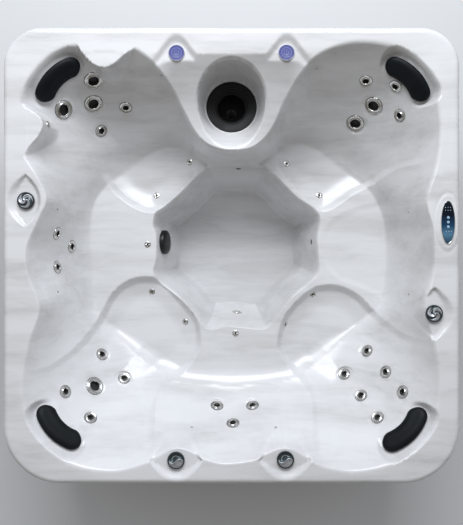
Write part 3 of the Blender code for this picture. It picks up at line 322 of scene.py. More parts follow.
floorLook = newLook("paleFloor", (0.72, 0.73, 0.74), 0.8)[0]
floorReach, floorLevel = 9, -0.001
floorMesh = meshFrom("studioFloor", [(x * floorReach, y * floorReach, floorLevel) for x, y in (
    (-1, -1), (1, -1), (1, 1), (-1, 1))], [(0, 1, 2, 3)])
floorMesh.materials.append(floorLook)
floorPiece = bpy.data.objects.new("studioFloor", floorMesh)
bpy.context.collection.objects.link(floorPiece)
print("camera, light and floor")

# ---- the moulded surface, as a height over each point of the plan
tub = {
    "half": 1.0, "height": 0.9, "wall": 0.008, "backRadius": 0.17, "frontRadius": 0.25, "roll": 0.026,
    "skirt": 0.039,
    "benchHeight": 0.47, "bowlDepth": 0.06, "bowlStep": 0.034, "bowlDish": 0.12, "benchDepth": 0.008,
    "floorHeight": 0.1, "floorInset": 0.085, "lipReach": 0.09,
    "blockDrop": 0.165, "blockLead": 0.012, "blockEdge": 0.4, "blockFade": 0.15, "wallSag": 0.3,
    "lobeDrop": 0.002, "lobeWall": 0.015, "lobeBlend": 0.07, "lobeRise": 0.15,
    "rimBlend": 0.014, "seatBlend": 0.05, "frontBlend": 0.09, "frontStart": -0.3, "frontFade": 0.25,
    "lipBlend": 0.018, "floorBlend": 0.045, "wellBlend": 0.012,
}
well = {"y": 0.705, "halfWidth": 0.158, "back": 0.165, "front": 0.207, "bore": 0.126, "height": 0.63,
        "ring": 0.12}
ledge = {"drop": 0.018, "halfLength": 0.122, "outside": 0.094, "inside": 0.072, "brow": 0.12, "scoop": 0.5,
         "lip": 0.32, "blend": 0.04, "edge": 0.004, "stem": 0.0145}
# the bell-shaped scoop behind each light, measured from a line below the light's middle
arch = {"height": 0.13, "width": 0.085, "start": 0.0405, "fade": 0.05, "halfLength": 0.19, "depth": 0.16}
panel = {"x": 0.943, "y": 0.145, "halfWidth": 0.031, "halfLength": 0.094}
# the low arch round the control panel, and the line engraved along its edge
surround = {"aside": 0.02, "ahead": 0.024, "rise": 0.0022, "fade": 0.12, "groove": 0.0016, "line": 1.12,
            "lineWidth": 0.07, "clearance": 0.42}
basinPoints = (
    (-0.927, 0.665), (-0.905, 0.735), (-0.85, 0.82), (-0.77, 0.888), (-0.668, 0.921), (-0.55, 0.93),
    (-0.44, 0.91), (-0.355, 0.858), (-0.275, 0.765), (-0.218, 0.66), (-0.172, 0.575), (-0.118, 0.518),
    (-0.05, 0.488), (0.02, 0.483), (0.09, 0.495), (0.15, 0.538), (0.195, 0.6), (0.235, 0.69), (0.295, 0.79),
    (0.37, 0.873), (0.48, 0.922), (0.6, 0.931), (0.745, 0.899), (0.833, 0.82), (0.894, 0.7), (0.916, 0.555),
    (0.9, 0.4), (0.853, 0.24), (0.88, 0.11), (0.884, -0.06), (0.85, -0.23), (0.89, -0.4), (0.908, -0.572),
    (0.885, -0.71), (0.815, -0.82), (0.7, -0.904), (0.54, -0.937), (0.391, -0.913), (0.24, -0.842),
    (0.1, -0.89), (-0.03, -0.906), (-0.12, -0.885), (-0.24, -0.842), (-0.37, -0.9), (-0.515, -0.935),
    (-0.68, -0.912), (-0.8, -0.84), (-0.885, -0.715), (-0.911, -0.57), (-0.885, -0.39), (-0.836, -0.23),
    (-0.885, -0.09), (-0.895, 0.03), (-0.84, 0.16), (-0.806, 0.25), (-0.85, 0.35), (-0.905, 0.44),
    (-0.93, 0.55))
lobePoints = (
    ((-0.96, 0.68), (-0.925, 0.665), (-0.88, 0.64), (-0.835, 0.605), (-0.822, 0.568), (-0.84, 0.525),
     (-0.87, 0.49), (-0.91, 0.44), (-0.96, 0.42)),
    ((-0.7, 0.96), (-0.668, 0.921), (-0.645, 0.875), (-0.608, 0.838), (-0.558, 0.819), (-0.512, 0.838),
     (-0.472, 0.872), (-0.425, 0.915), (-0.4, 0.96)))
seatFootPoints = (
    (-0.71, 0.0), (-0.712, 0.15), (-0.69, 0.27), (-0.625, 0.37), (-0.54, 0.45), (-0.44, 0.52), (-0.34, 0.56),
    (-0.25, 0.555), (-0.18, 0.49), (-0.105, 0.455), (0.0, 0.446), (0.115, 0.455), (0.19, 0.493),
    (0.265, 0.555), (0.36, 0.575), (0.46, 0.54), (0.57, 0.46), (0.67, 0.37), (0.745, 0.25), (0.78, 0.1),
    (0.78, -0.1), (0.745, -0.24), (0.66, -0.34), (0.56, -0.43), (0.44, -0.53), (0.27, -0.615), (0.0, -0.64),
    (-0.27, -0.615), (-0.43, -0.53), (-0.55, -0.43), (-0.64, -0.34), (-0.695, -0.22))
footwellPoints = (
    (-0.1, 0.446), (-0.135, 0.425), (-0.245, 0.325), (-0.335, 0.245), (-0.378, 0.21), (-0.39, 0.15),
    (-0.374, 0.1), (-0.375, -0.02), (-0.388, -0.08), (-0.36, -0.13), (-0.255, -0.212), (-0.185, -0.289),
    (-0.14, -0.345), (-0.1, -0.365), (-0.02, -0.35), (0.089, -0.359), (0.163, -0.362), (0.2, -0.335),
    (0.24, -0.281), (0.302, -0.204), (0.4, -0.122), (0.435, -0.07), (0.427, 0.08), (0.44, 0.18),
    (0.41, 0.23), (0.321, 0.294), (0.24, 0.375), (0.175, 0.43), (0.135, 0.446))
# round-ended scoops in the seats: the four bowls, then the right bench
bowlPoints = (
    ((-0.76, 0.66), (-0.675, 0.5), (-0.643, 0.403), (-0.6, 0.33), (-0.55, 0.281), (-0.485, 0.238),
     (-0.424, 0.215), (-0.375, 0.219), (-0.317, 0.256), (-0.263, 0.3), (-0.21, 0.355), (-0.18, 0.41),
     (-0.17, 0.465), (-0.175, 0.52), (-0.2, 0.66), (-0.33, 0.98), (-0.8, 0.98)),
    ((0.98, 0.5), (0.768, 0.4), (0.703, 0.352), (0.618, 0.31), (0.556, 0.268), (0.495, 0.228), (0.449, 0.222),
     (0.4, 0.252), (0.349, 0.296), (0.288, 0.358), (0.243, 0.425), (0.223, 0.48), (0.223, 0.535),
     (0.24, 0.68), (0.34, 0.98), (0.98, 0.98)),
    ((-0.98, -0.55), (-0.83, -0.5), (-0.73, -0.417), (-0.66, -0.3), (-0.608, -0.2), (-0.54, -0.134),
     (-0.46, -0.104), (-0.385, -0.106), (-0.335, -0.13), (-0.279, -0.18), (-0.225, -0.24), (-0.179, -0.3),
     (-0.152, -0.38), (-0.155, -0.47), (-0.22, -0.57), (-0.35, -0.68), (-0.4, -0.98), (-0.98, -0.98)),
    ((0.98, -0.45), (0.8, -0.36), (0.71, -0.27), (0.63, -0.19), (0.54, -0.148), (0.449, -0.146),
     (0.388, -0.17), (0.328, -0.22), (0.275, -0.28), (0.243, -0.345), (0.227, -0.41), (0.229, -0.475),
     (0.289, -0.563), (0.38, -0.68), (0.42, -0.98), (0.98, -0.98)),
    ((0.98, 0.3), (0.7, 0.262), (0.593, 0.233), (0.503, 0.187), (0.457, 0.118), (0.441, 0.052),
     (0.453, -0.02), (0.487, -0.081), (0.541, -0.127), (0.62, -0.156), (0.72, -0.2), (0.98, -0.34)))
# middle of each fitting that stands on its own ledge, and the way out from the tub's middle
ledgeSpots = {
    "front_left_knob": ((-0.243, -0.897), (0, -1)), "front_right_knob": ((0.236, -0.894), (0, -1)),
    "left_knob": ((-0.9, 0.24), (-1, 0)), "right_knob": ((0.887, -0.254), (1, 0)),
    "left_light": ((-0.241, 0.888), (0, 1)), "right_light": ((0.241, 0.889), (0, 1)),
}
pillow = {
    "spots": {"back_left_pillow": (-0.784, 0.793), "back_right_pillow": (0.795, 0.795),
              "front_left_pillow": (-0.779, -0.775), "front_right_pillow": (0.782, -0.785)},
    "height": 0.825, "slope": 0.8, "chord": 0.156, "bow": 0.016, "halfWidth": 0.046, "crown": 0.032,
    "dish": 0.005, "padMargin": 0.004, "padFade": 0.034,
}


def smoothLoop(points, step):
    # a closed curve through the points, in equal steps
    points = np.array(points, float)
    share = np.linspace(0, 1, 24, endpoint=False)[:, None]
    samples = []
    for index in range(len(points)):
        before, start, end, after = (points[(index + offset) % len(points)] for offset in (-1, 0, 1, 2))
        samples.append(0.5 * (2 * start + (end - before) * share
                              + (2 * before - 5 * start + 4 * end - after) * share ** 2
                              + (3 * start - before - 3 * end + after) * share ** 3))
    samples = np.concatenate(samples + [samples[0][:1]])
    along = np.concatenate(([0], np.cumsum(np.linalg.norm(np.diff(samples, axis=0), axis=1))))
    at = np.linspace(0, along[-1], max(8, round(along[-1] / step)), endpoint=False)
    return np.column_stack([np.interp(at, along, samples[:, axis]) for axis in (0, 1)])


def distanceInside(loop, points, margin=9.0):
    # distance of each point to a closed loop, positive inside it; beyond the margin it stays the same
    edge = np.roll(loop, -1, axis=0) - loop
    rise = np.where(edge[:, 1] == 0, 1, edge[:, 1])
    lengths = (edge ** 2).sum(1)
    found = np.full(len(points), -margin)
    low, high = loop.min(axis=0) - margin, loop.max(axis=0) + margin
    nearby = np.nonzero(((points > low) & (points < high)).all(axis=1))[0]
    for first in range(0, len(nearby), 3000):
        chosen = nearby[first:first + 3000]
        part = points[chosen]
        offset = part[:, None, :] - loop[None]
        along = np.clip((offset * edge).sum(2) / lengths, 0, 1)
        distance = np.sqrt(((offset - along[:, :, None] * edge) ** 2).sum(2).min(axis=1))
        spans = (loop[:, 1] > part[:, 1:]) != (loop[:, 1] + edge[:, 1] > part[:, 1:])
        crossings = spans & (offset[:, :, 0] < offset[:, :, 1] * edge[:, 0] / rise)
        found[chosen] = np.maximum(np.where(crossings.sum(axis=1) % 2 == 1, distance, -distance), -margin)
    return found


def distanceFromOutline(points):
    # the same for the tub's rounded square
    radius = np.where(points[:, 1] > 0, tub["backRadius"], tub["frontRadius"])
    reach = np.abs(points) - (tub["half"] - radius)[:, None]
    return radius - np.hypot(*np.maximum(reach, 0).T) - np.minimum(reach.max(axis=1), 0)


def easeBetween(value):
    value = np.clip(value, 0, 1)
    return value * value * (3 - 2 * value)


def crispEdge(value):
    # starts at a clear edge and ends softly
    value = np.clip(value, 0, 1)
    return 0.45 * easeBetween(value) + 0.55 * value * (2 - value)


def softMin(first, second, blend):
    share = np.clip(0.5 + 0.5 * (second - first) / blend, 0, 1)
    return second + (first - second) * share - blend * share * (1 - share)


def softMax(first, second, blend):
    return -softMin(-first, -second, blend)


def outlineLoop(inset, step):
    # the tub's outline from above, clockwise from the back left corner
    half = tub["half"] - inset
    radii = (tub["backRadius"], tub["backRadius"], tub["frontRadius"], tub["frontRadius"])
    corners = []
    for index, ((sideX, sideY), radius) in enumerate(zip(((-1, 1), (1, 1), (1, -1), (-1, -1)), radii)):
        radius = max(radius - inset, 0.001)
        turns = max(4, round(radius * math.pi / 2 / step))
        for turn in range(turns + 1):
            angle = math.pi - index * math.pi / 2 - turn / turns * math.pi / 2
            corners.append((sideX * (half - radius) + radius * math.cos(angle),
                            sideY * (half - radius) + radius * math.sin(angle)))
    full = []
    for start, end in zip(corners, corners[1:] + corners[:1]):
        pieces = max(1, math.ceil(math.dist(start, end) / (1.2 * step)))
        full += [tuple(a + (b - a) * piece / pieces for a, b in zip(start, end)) for piece in range(pieces)]
    return np.array(full)


def ovalLoop(x, y, halfX, halfY, count):
    angles = np.linspace(0, 2 * math.pi, count, endpoint=False)
    return np.column_stack([x + halfX * np.cos(angles), y + halfY * np.sin(angles)])


lineStep = 0.02
basinEdge = smoothLoop(basinPoints, lineStep)
seatFoot = smoothLoop(seatFootPoints, lineStep)
footwellLip = smoothLoop(footwellPoints, lineStep)
bowlEdges = [smoothLoop(points, lineStep) for points in bowlPoints]
lobeEdges = [smoothLoop(points, lineStep) for points in lobePoints]
wellAngles = np.linspace(0, 2 * math.pi, 72, endpoint=False)
wellEdge = np.column_stack([well["halfWidth"] * np.cos(wellAngles),
                            well["y"] + np.where(np.sin(wellAngles) > 0, well["back"], well["front"])
                            * np.sin(wellAngles)])
wellBore = ovalLoop(0, well["y"], well["bore"], well["bore"], 72)


def pillowFrame(name):
    # X along the pillow, Y up its pad, Z out of the pad
    x, y = pillow["spots"][name]
    out = Vector((math.copysign(1, x), math.copysign(1, y), 0)).normalized()
    slope = math.atan(pillow["slope"])
    across = Vector((out.y, -out.x, 0))
    up = Vector((out.x * math.cos(slope), out.y * math.cos(slope), math.sin(slope)))
    turn = Matrix((across, up, across.cross(up))).transposed().to_4x4()
    return Matrix.Translation((x, y, pillow["height"])) @ turn, out


def pillowArc():
    radius = (pillow["chord"] ** 2 / 4 + pillow["bow"] ** 2) / (2 * pillow["bow"])
    return radius, math.asin(pillow["chord"] / 2 / radius), radius - pillow["bow"] / 2


def ledgeDrop(points):
    # an eye in plan, with a crisp lip towards the water and a soft scoop behind it; a light's is a bell
    drop = np.zeros(len(points))
    for (x, y), out in ledgeSpots.values():
        offset = points - np.array((x, y))
        outward = offset @ np.array(out)
        along = np.abs(offset @ np.array((-out[1], out[0])))
        if out == (0, 1):
            bell = arch["height"] * np.exp(-(along / arch["width"]) ** 2) - arch["start"]
            share = easeBetween((bell - outward) / arch["fade"]) * (outward > -arch["depth"])
            share *= easeBetween((arch["halfLength"] - along) / arch["fade"])
        else:
            reach = np.where(outward > 0, outward / ledge["outside"],
                             -outward / ledge["brow" if out[1] else "inside"])
            soft = ledge["lip"] + (ledge["scoop"] - ledge["lip"]) * easeBetween(outward / ledge["blend"])
            share = easeBetween((1 - reach - (along / ledge["halfLength"]) ** 2) / soft)
        drop = np.maximum(drop, share)
    return ledge["drop"] * drop


def panelSurround(points):
    # a low raised arch round the control panel, with an engraved line along its edge
    reach = np.hypot((points[:, 0] - panel["x"]) / (panel["halfWidth"] + surround["aside"]),
                     (points[:, 1] - panel["y"]) / (panel["halfLength"] + surround["ahead"]))
    groove = surround["groove"] * np.exp(-((reach - surround["line"]) / surround["lineWidth"]) ** 2)
    return surround["rise"] * easeBetween((1 - reach) / surround["fade"] + 0.5) - groove


def mouldedHeight(points):
    seat = np.full(len(points), tub["benchHeight"])
    for index, loop in enumerate(bowlEdges):
        reach = distanceInside(loop, points, 0.01)
        scoop = 0.6 * crispEdge(reach / tub["bowlStep"]) + 0.4 * easeBetween(reach / tub["bowlDish"])
        seat = seat - tub["bowlDepth" if index < 4 else "benchDepth"] * scoop
    blockEnd = well["y"] + well["back"] + tub["blockLead"]
    fallen = np.clip((blockEnd - points[:, 1]) / (well["back"] + well["front"]), 0, 1)
    block = 0.75 * fallen * (2 - fallen) + 0.25 * easeBetween(fallen)
    block = block * easeBetween((tub["blockEdge"] - np.abs(points[:, 0])) / tub["blockFade"])
    top = tub["height"] - tub["blockDrop"] * block * (points[:, 1] > 0)
    top = softMin(top, tub["height"] - ledgeDrop(points), ledge["edge"]) + panelSurround(points)
    inBasin = distanceInside(basinEdge, points)
    offFoot = -distanceInside(seatFoot, points)
    climb = offFoot / np.maximum(offFoot + inBasin, 0.0003)
    climb = np.where(climb > 0, climb - tub["wallSag"] * climb * np.clip(1 - climb, 0, 1), climb)
    blend = tub["seatBlend"] + tub["frontBlend"] * easeBetween((tub["frontStart"] - points[:, 1])
                                                               / tub["frontFade"])
    height = softMax(seat, seat + (top - seat) * climb, blend)
    fall = distanceInside(footwellLip, points, 0.16) / tub["floorInset"]
    fall = np.where(fall < 0, fall * (1 + (fall / tub["lipReach"]) ** 2), fall)
    floorLevel = np.full(len(points), tub["floorHeight"])
    footwell = softMax(seat + (tub["floorHeight"] - seat) * fall, floorLevel, tub["floorBlend"])
    height = softMin(height, footwell, tub["lipBlend"])
    height = softMin(height, top, tub["rimBlend"])
    inWell, offBore = distanceInside(wellEdge, points, 0.1), -distanceInside(wellBore, points, 0.2)
    drop = inWell / np.maximum(inWell + offBore, 0.0003)
    wellLevel = np.full(len(points), well["height"])
    wellWall = softMax(top + (wellLevel - top) * drop, wellLevel, tub["wellBlend"])
    height = softMin(height, wellWall, tub["wellBlend"])
    radius, halfAngle, below = pillowArc()
    for name in pillow["spots"]:
        turn, out = pillowFrame(name)
        local = points - np.array(turn.translation.xy)
        across, up = local @ np.array(turn.col[0].xy), local @ np.array(out.xy)
        flat = pillow["height"] + pillow["slope"] * up
        rise = up * math.hypot(1, pillow["slope"])
        angle = np.clip(np.arctan2(across, rise + below), -halfAngle, halfAngle)
        reach = np.hypot(across - radius * np.sin(angle), rise + below - radius * np.cos(angle))
        share = 1 - easeBetween((reach - pillow["halfWidth"] - pillow["padMargin"]) / pillow["padFade"])
        height = height * (1 - share) + flat * share
    for lobe in lobeEdges:
        beyond = np.minimum(distanceInside(lobe, points, 0.16), 0)
        lobeTop = tub["height"] - tub["lobeDrop"] + tub["lobeRise"] / tub["lobeWall"] * beyond
        height = np.maximum(height, np.minimum(softMax(height, lobeTop, tub["lobeBlend"]), top))
    rolled = np.clip(tub["roll"] - distanceFromOutline(points), 0, tub["roll"])
    return height - tub["roll"] + np.sqrt(tub["roll"] ** 2 - rolled ** 2)


def surfaceFrame(x, y):
    # Z out of the moulded surface, Y up it
    step = 0.004
    left, right, front, back, here = mouldedHeight(np.array([(x - step, y), (x + step, y), (x, y - step),
                                                             (x, y + step), (x, y)]))
    normal = Vector(((left - right) / (2 * step), (front - back) / (2 * step), 1)).normalized()
    return frameAlong((x, y, here), normal)


def frameAlong(spot, axis):
    normal = Vector(axis).normalized()
    across = Vector((0, 0, 1)).cross(normal)
    across = across.normalized() if across.length > 1e-4 else Vector((1, 0, 0))
    return Matrix.Translation(spot) @ Matrix((across, normal.cross(across), normal)).transposed().to_4x4()


# every jet sits where the frame has its hinge
jetFrames = {joint["child"]: frameAlong(joint["pos_m"], joint["axis"]) for joint in frame["joints"]
             if "_jet_" in joint["child"]}
jetSize = {"large": 0.043, "small": 0.029, "barrelShare": 0.62,
           "largeOnes": ("back_left_jet_1", "back_left_jet_2", "back_left_jet_3", "back_right_jet_3",
                         "back_right_jet_4", "front_left_jet_3")}
suction = {"x": -0.35, "y": 0.068, "radius": 0.062, "stem": 0.03, "ribs": 9}
suctionFrame = surfaceFrame(suction["x"], suction["y"])


def jetRadius(name):
    return jetSize["large"] if name in jetSize["largeOnes"] else jetSize["small"]


padSpots = [(turn, jetRadius(name)) for name, turn in jetFrames.items()] + [(suctionFrame, suction["radius"])]


# the flat pad under each wall fitting, and the faint ring pressed round it
pad = {"margin": 0.004, "fade": 0.014, "step": 0.024, "stepFade": 0.012, "reach": 0.03, "ring": 0.0085,
       "ringDepth": 0.0011, "ringWidth": 0.0022}


def finishedHeight(points):
    height = mouldedHeight(points)
    for turn, radius in padSpots:
        middle, normal = turn.translation, turn.col[2]
        near = np.nonzero(np.abs(points - np.array(middle.xy)).max(axis=1) < radius + pad["reach"])[0]
        away = points[near] - np.array(middle.xy)
        level = middle.z - away @ np.array(normal.xy) / normal.z
        reach = np.sqrt((away ** 2).sum(1) + (level - middle.z) ** 2)
        share = 1 - easeBetween((reach - radius - pad["margin"]) / pad["fade"])
        share *= easeBetween((pad["step"] - np.abs(height[near] - level)) / pad["stepFade"])
        ring = pad["ringDepth"] * np.exp(-((reach - radius - pad["ring"]) / pad["ringWidth"]) ** 2)
        height[near] = height[near] * (1 - share) + level * share - ring
    return height


def ringOn(turn, radius, count):
    angles = np.linspace(0, 2 * math.pi, count, endpoint=False)
    return np.array([(turn @ Vector((radius * math.cos(a), radius * math.sin(a), 0))).xy for a in angles])


shellDetail = {"fine": 0.005, "middle": 0.01, "coarse": 0.03, "fineBend": 40.0, "middleBend": 3.0,
               "spacing": 0.0055}
# where the shell has lines of points: distances from each edge, or shares of a fitting's size
edgeLines = {
    "outline": (0.0015, 0.004, 0.0075, 0.012, 0.017, 0.022),
    "lobe": (-0.03, -0.021, -0.015, -0.008, 0.0, 0.005),
    "well": (-0.005, 0.0, 0.006, 0.013), "basin": (-0.008, 0.0, 0.008), "footwell": (-0.008, 0.0, 0.008),
    "bowl": (-0.004, 0.001, 0.007, 0.016, 0.027, 0.034), "fitting": (0.001, 0.005, 0.0085, 0.012, 0.017),
    "panel": (0.92, 1.0, 1.07, 1.14, 1.22),
    "ledgeOutside": (1.03, 1.0, 0.93, 0.85, 0.76, 0.66, 0.56),
    "ledgeInside": (1.1, 1.0, 0.94, 0.88, 0.82, 0.75),
}
holeGap, ringGap, outlineStep = 0.002, 0.0003, 0.012


def shellHoles():
    holes = [ringOn(turn, radius * jetSize["barrelShare"] + holeGap, 20) for turn, radius in padSpots[:-1]]
    holes.append(ringOn(suctionFrame, suction["stem"] + holeGap, 20))
    holes += [ovalLoop(x, y, ledge["stem"], ledge["stem"], 16) for (x, y), out in ledgeSpots.values()]
    holes.append(ovalLoop(panel["x"], panel["y"], panel["halfWidth"] * surround["clearance"],
                          panel["halfLength"] * surround["clearance"], 24))
    holes.append(ovalLoop(0, well["y"], well["ring"] + ringGap, well["ring"] + ringGap, 72))
    return holes


def alongside(loop, offset):
    # close points along a loop, moved inwards by an offset
    fine = smoothLoop(loop, 0.006)
    ahead = np.roll(fine, -1, axis=0) - np.roll(fine, 1, axis=0)
    area = np.cross(fine, np.roll(fine, -1, axis=0)).sum()
    inwards = np.column_stack([-ahead[:, 1], ahead[:, 0]]) * np.sign(area)
    return fine + inwards / np.linalg.norm(inwards, axis=1)[:, None] * offset


def ledgeLines():
    # lines that run along both edges of every ledge
    lines = []
    for (x, y), out in ledgeSpots.values():
        shares = np.linspace(-0.99, 0.99, 64)
        along, taper = shares * ledge["halfLength"], 1 - shares ** 2
        outward, aside = np.array(out), np.array((-out[1], out[0]))
        reaches = [ledge["outside"] * taper * share for share in edgeLines["ledgeOutside"]]
        reaches += [-ledge["inside"] * taper * share for share in edgeLines["ledgeInside"]]
        lines += [np.array((x, y)) + aside * along[:, None] + outward * reach[:, None] for reach in reaches]
    return lines


def planPoints(holes):
    # fixed lines first, then points close together where the surface bends and far apart where it is even
    step = shellDetail["middle"]
    count = round(2 * tub["half"] / step) + 1
    axis = np.linspace(-tub["half"], tub["half"], count)
    columns, rows = np.meshgrid(axis, axis, indexing="ij")
    grid = np.column_stack([columns.ravel(), rows.ravel()])
    height = finishedHeight(grid).reshape(count, count)
    bend = np.zeros_like(height)
    bend[1:-1, 1:-1] = np.abs(height[2:, 1:-1] + height[:-2, 1:-1] + height[1:-1, 2:] + height[1:-1, :-2]
                              - 4 * height[1:-1, 1:-1]) / step ** 2
    spread = bend.copy()
    for shiftX in (-1, 0, 1):
        for shiftY in (-1, 0, 1):
            spread = np.maximum(spread, np.roll(np.roll(bend, shiftX, 0), shiftY, 1))
    inside = distanceFromOutline(grid) > 0.004
    lists = [outlineLoop(inset, outlineStep) for inset in edgeLines["outline"]]
    lobeLines = np.concatenate([alongside(loop, offset) for loop in lobeEdges
                                for offset in edgeLines["lobe"]])
    lists.append(lobeLines[distanceInside(basinEdge, lobeLines) > -0.012])
    for kind, loops in (("well", [wellEdge]), ("basin", [basinEdge]), ("footwell", [footwellLip]),
                        ("bowl", bowlEdges)):
        lists += [alongside(loop, offset) for loop in loops for offset in edgeLines[kind]]
    lists += ledgeLines()
    halfX, halfY = panel["halfWidth"] + surround["aside"], panel["halfLength"] + surround["ahead"]
    lists += [ovalLoop(panel["x"], panel["y"], halfX * share, halfY * share, 90)
              for share in edgeLines["panel"]]
    for turn, radius in padSpots:
        lists += [ringOn(turn, radius + more, 28) for more in edgeLines["fitting"]]
    sharpest = grid[(spread.ravel() > shellDetail["fineBend"]) & inside]
    if shellDetail["fine"] < step:
        half = shellDetail["fine"]
        lists += [sharpest, sharpest + (half, 0), sharpest + (0, half), sharpest + (half, half)]
    lists.append(grid[(spread.ravel() > shellDetail["middleBend"]) & inside])
    every = max(1, round(shellDetail["coarse"] / step))
    sparse = np.zeros((count, count), bool)
    sparse[::every, ::every] = True
    lists.append(grid[sparse.ravel() & inside])
    candidates = np.concatenate(lists)
    candidates = candidates[distanceFromOutline(candidates) > 0.0008]
    for hole in holes:
        middle, reach = hole.mean(axis=0), np.abs(hole - hole.mean(axis=0)).max() + 0.01
        near = np.abs(candidates - middle).max(axis=1) < reach
        blocked = np.zeros(len(candidates), bool)
        blocked[near] = distanceInside(hole, candidates[near]) > -0.002
        candidates = candidates[~blocked]
    spacing = shellDetail["spacing"]
    taken, kept = {}, []
    for x, y in candidates:
        cell = (int(x // spacing), int(y // spacing))
        around = [taken.get((cell[0] + i, cell[1] + j)) for i in (-1, 0, 1) for j in (-1, 0, 1)]
        if all(near is None or (near[0] - x) ** 2 + (near[1] - y) ** 2 > spacing ** 2 for near in around):
            taken[cell] = (x, y)
            kept.append((x, y))
    return kept


def shellMesh():
    holes = shellHoles()
    border = outlineLoop(0, outlineStep)
    points, edges = [], []
    for loop in [border] + holes:
        start = len(points)
        points += [tuple(point) for point in loop]
        edges += [(start + i, start + (i + 1) % len(loop)) for i in range(len(loop))]
    points += planPoints(holes)
    plan, _, triangles, *_ = delaunay_2d_cdt([Vector(point) for point in points], edges, [], 0, 1e-6)
    plan = np.array([tuple(point) for point in plan])
    triangles = np.array([tuple(face) for face in triangles])
    middles = plan[triangles].mean(axis=1)
    kept = np.ones(len(triangles), bool)
    for hole in holes:
        reach = np.abs(hole - hole.mean(axis=0)).max() + 0.001
        near = np.nonzero(np.abs(middles - hole.mean(axis=0)).max(axis=1) < reach)[0]
        kept[near] &= distanceInside(hole, middles[near]) < 0
    triangles = triangles[kept]
    corners = plan[triangles]
    turned = np.cross(corners[:, 1] - corners[:, 0], corners[:, 2] - corners[:, 0]) < 0
    triangles[turned] = triangles[turned][:, ::-1]
    height = finishedHeight(plan)
    step = 0.0015
    slopeX = (finishedHeight(plan + (step, 0)) - height) / step
    slopeY = (finishedHeight(plan + (0, step)) - height) / step
    normals = np.column_stack([-slopeX, -slopeY, np.ones(len(plan))])
    onBorder = np.abs(distanceFromOutline(plan)) < 1e-4
    outward = plan - np.clip(plan, -tub["half"] + tub["frontRadius"], tub["half"] - tub["frontRadius"])
    normals[onBorder] = np.column_stack([outward, np.zeros(len(plan))])[onBorder]
    normals /= np.linalg.norm(normals, axis=1)[:, None]
    count = len(plan)
    front = np.column_stack([plan, height])
    back = front - normals * tub["wall"]
    allEdges = [(a, b) for face in triangles for a, b in zip(face, np.roll(face, -1))]
    seenEdges = set(allEdges)
    openEdges = [(a, b) for a, b in allEdges if (b, a) not in seenEdges]
    foot = tub["height"] - tub["roll"] - tub["skirt"]
    skirtIndex, skirtPoints = {}, []
    for index in np.nonzero(onBorder)[0]:
        skirtIndex[index] = len(skirtPoints)
        skirtPoints.append((front[index][0], front[index][1], foot))
    skirtPoints = np.array(skirtPoints)
    skirtNormals = normals[list(skirtIndex)]
    outerSkirt, innerSkirt = 2 * count, 2 * count + len(skirtPoints)
    points = np.concatenate([front, back, skirtPoints, skirtPoints - skirtNormals * tub["wall"]])
    allNormals = np.concatenate([normals, -normals, skirtNormals, -skirtNormals])
    faces = [tuple(map(int, face)) for face in triangles]
    faces += [(c + count, b + count, a + count) for a, b, c in faces]
    for a, b in openEdges:
        a, b = int(a), int(b)
        if a in skirtIndex and b in skirtIndex:
            low, high = skirtIndex[a], skirtIndex[b]
            faces.append((b, a, outerSkirt + low, outerSkirt + high))
            faces.append((a + count, b + count, innerSkirt + high, innerSkirt + low))
            faces.append((outerSkirt + high, outerSkirt + low, innerSkirt + low, innerSkirt + high))
        else:
            faces.append((b, a, a + count, b + count))
    mesh = meshFrom("shell", points, faces)
    mesh.shade_smooth()
    mesh.normals_split_custom_set_from_vertices([tuple(normal) for normal in allNormals])
    print("shell:", len(points), "points,", len(mesh.polygons), "faces")
    return mesh


# marbled acrylic: soft grey clouds drawn out along X, with a few finer veins
marbling, gIn, gOut = newGroup("marbling", "ShaderNodeTree",
                               [("Vector", "NodeSocketVector", None), ("Scale", "NodeSocketFloat", 2.2),
                                ("Warp", "NodeSocketFloat", 0.16)],
                               [("Clouds", "NodeSocketFloat"), ("Veins", "NodeSocketFloat")])
drawnOut = addNode(marbling, "ShaderNodeMapping", {"Vector": gIn.outputs[0], "Scale": (0.55, 3.4, 1.4),
                                                   "Rotation": (0, 0, 0.06)})
warp = addNode(marbling, "ShaderNodeTexNoise", {"Vector": gIn.outputs[0], "Scale": 1.7, "Detail": 2.0})
warpOffset = addNode(marbling, "ShaderNodeVectorMath", {0: warp.outputs["Color"], 1: (0.5, 0.5, 0.5)},
                     operation="SUBTRACT")
warpSize = addNode(marbling, "ShaderNodeVectorMath", {0: warpOffset.outputs[0]}, operation="SCALE")
marbling.links.new(gIn.outputs[2], warpSize.inputs["Scale"])
warped = addNode(marbling, "ShaderNodeVectorMath", {0: drawnOut.outputs[0], 1: warpSize.outputs[0]},
                 operation="ADD")
cloudNoise = addNode(marbling, "ShaderNodeTexNoise", {"Vector": warped.outputs[0], "Scale": gIn.outputs[1],
                                                      "Detail": 5.0, "Roughness": 0.62})
clouds = mapped(marbling, cloudNoise.outputs[0], 0.42, 0.7)
veinNoise = addNode(marbling, "ShaderNodeTexNoise", {"Vector": warped.outputs[0], "Scale": 4.6, "Detail": 4.0,
                                                     "Roughness": 0.5})
veinLine = calculated(marbling, "SUBTRACT", veinNoise.outputs[0], 0.5)
veinSide = calculated(marbling, "ABSOLUTE", veinLine)
veins = mapped(marbling, veinSide, 0.0, 0.06, 1.0, 0.0)
marbling.links.new(clouds, gOut.inputs[0])
marbling.links.new(veins, gOut.inputs[1])

acrylic = {"white": (0.75, 0.753, 0.765), "cloud": (0.55, 0.545, 0.54), "vein": (0.47, 0.47, 0.48),
           "roughness": 0.24}


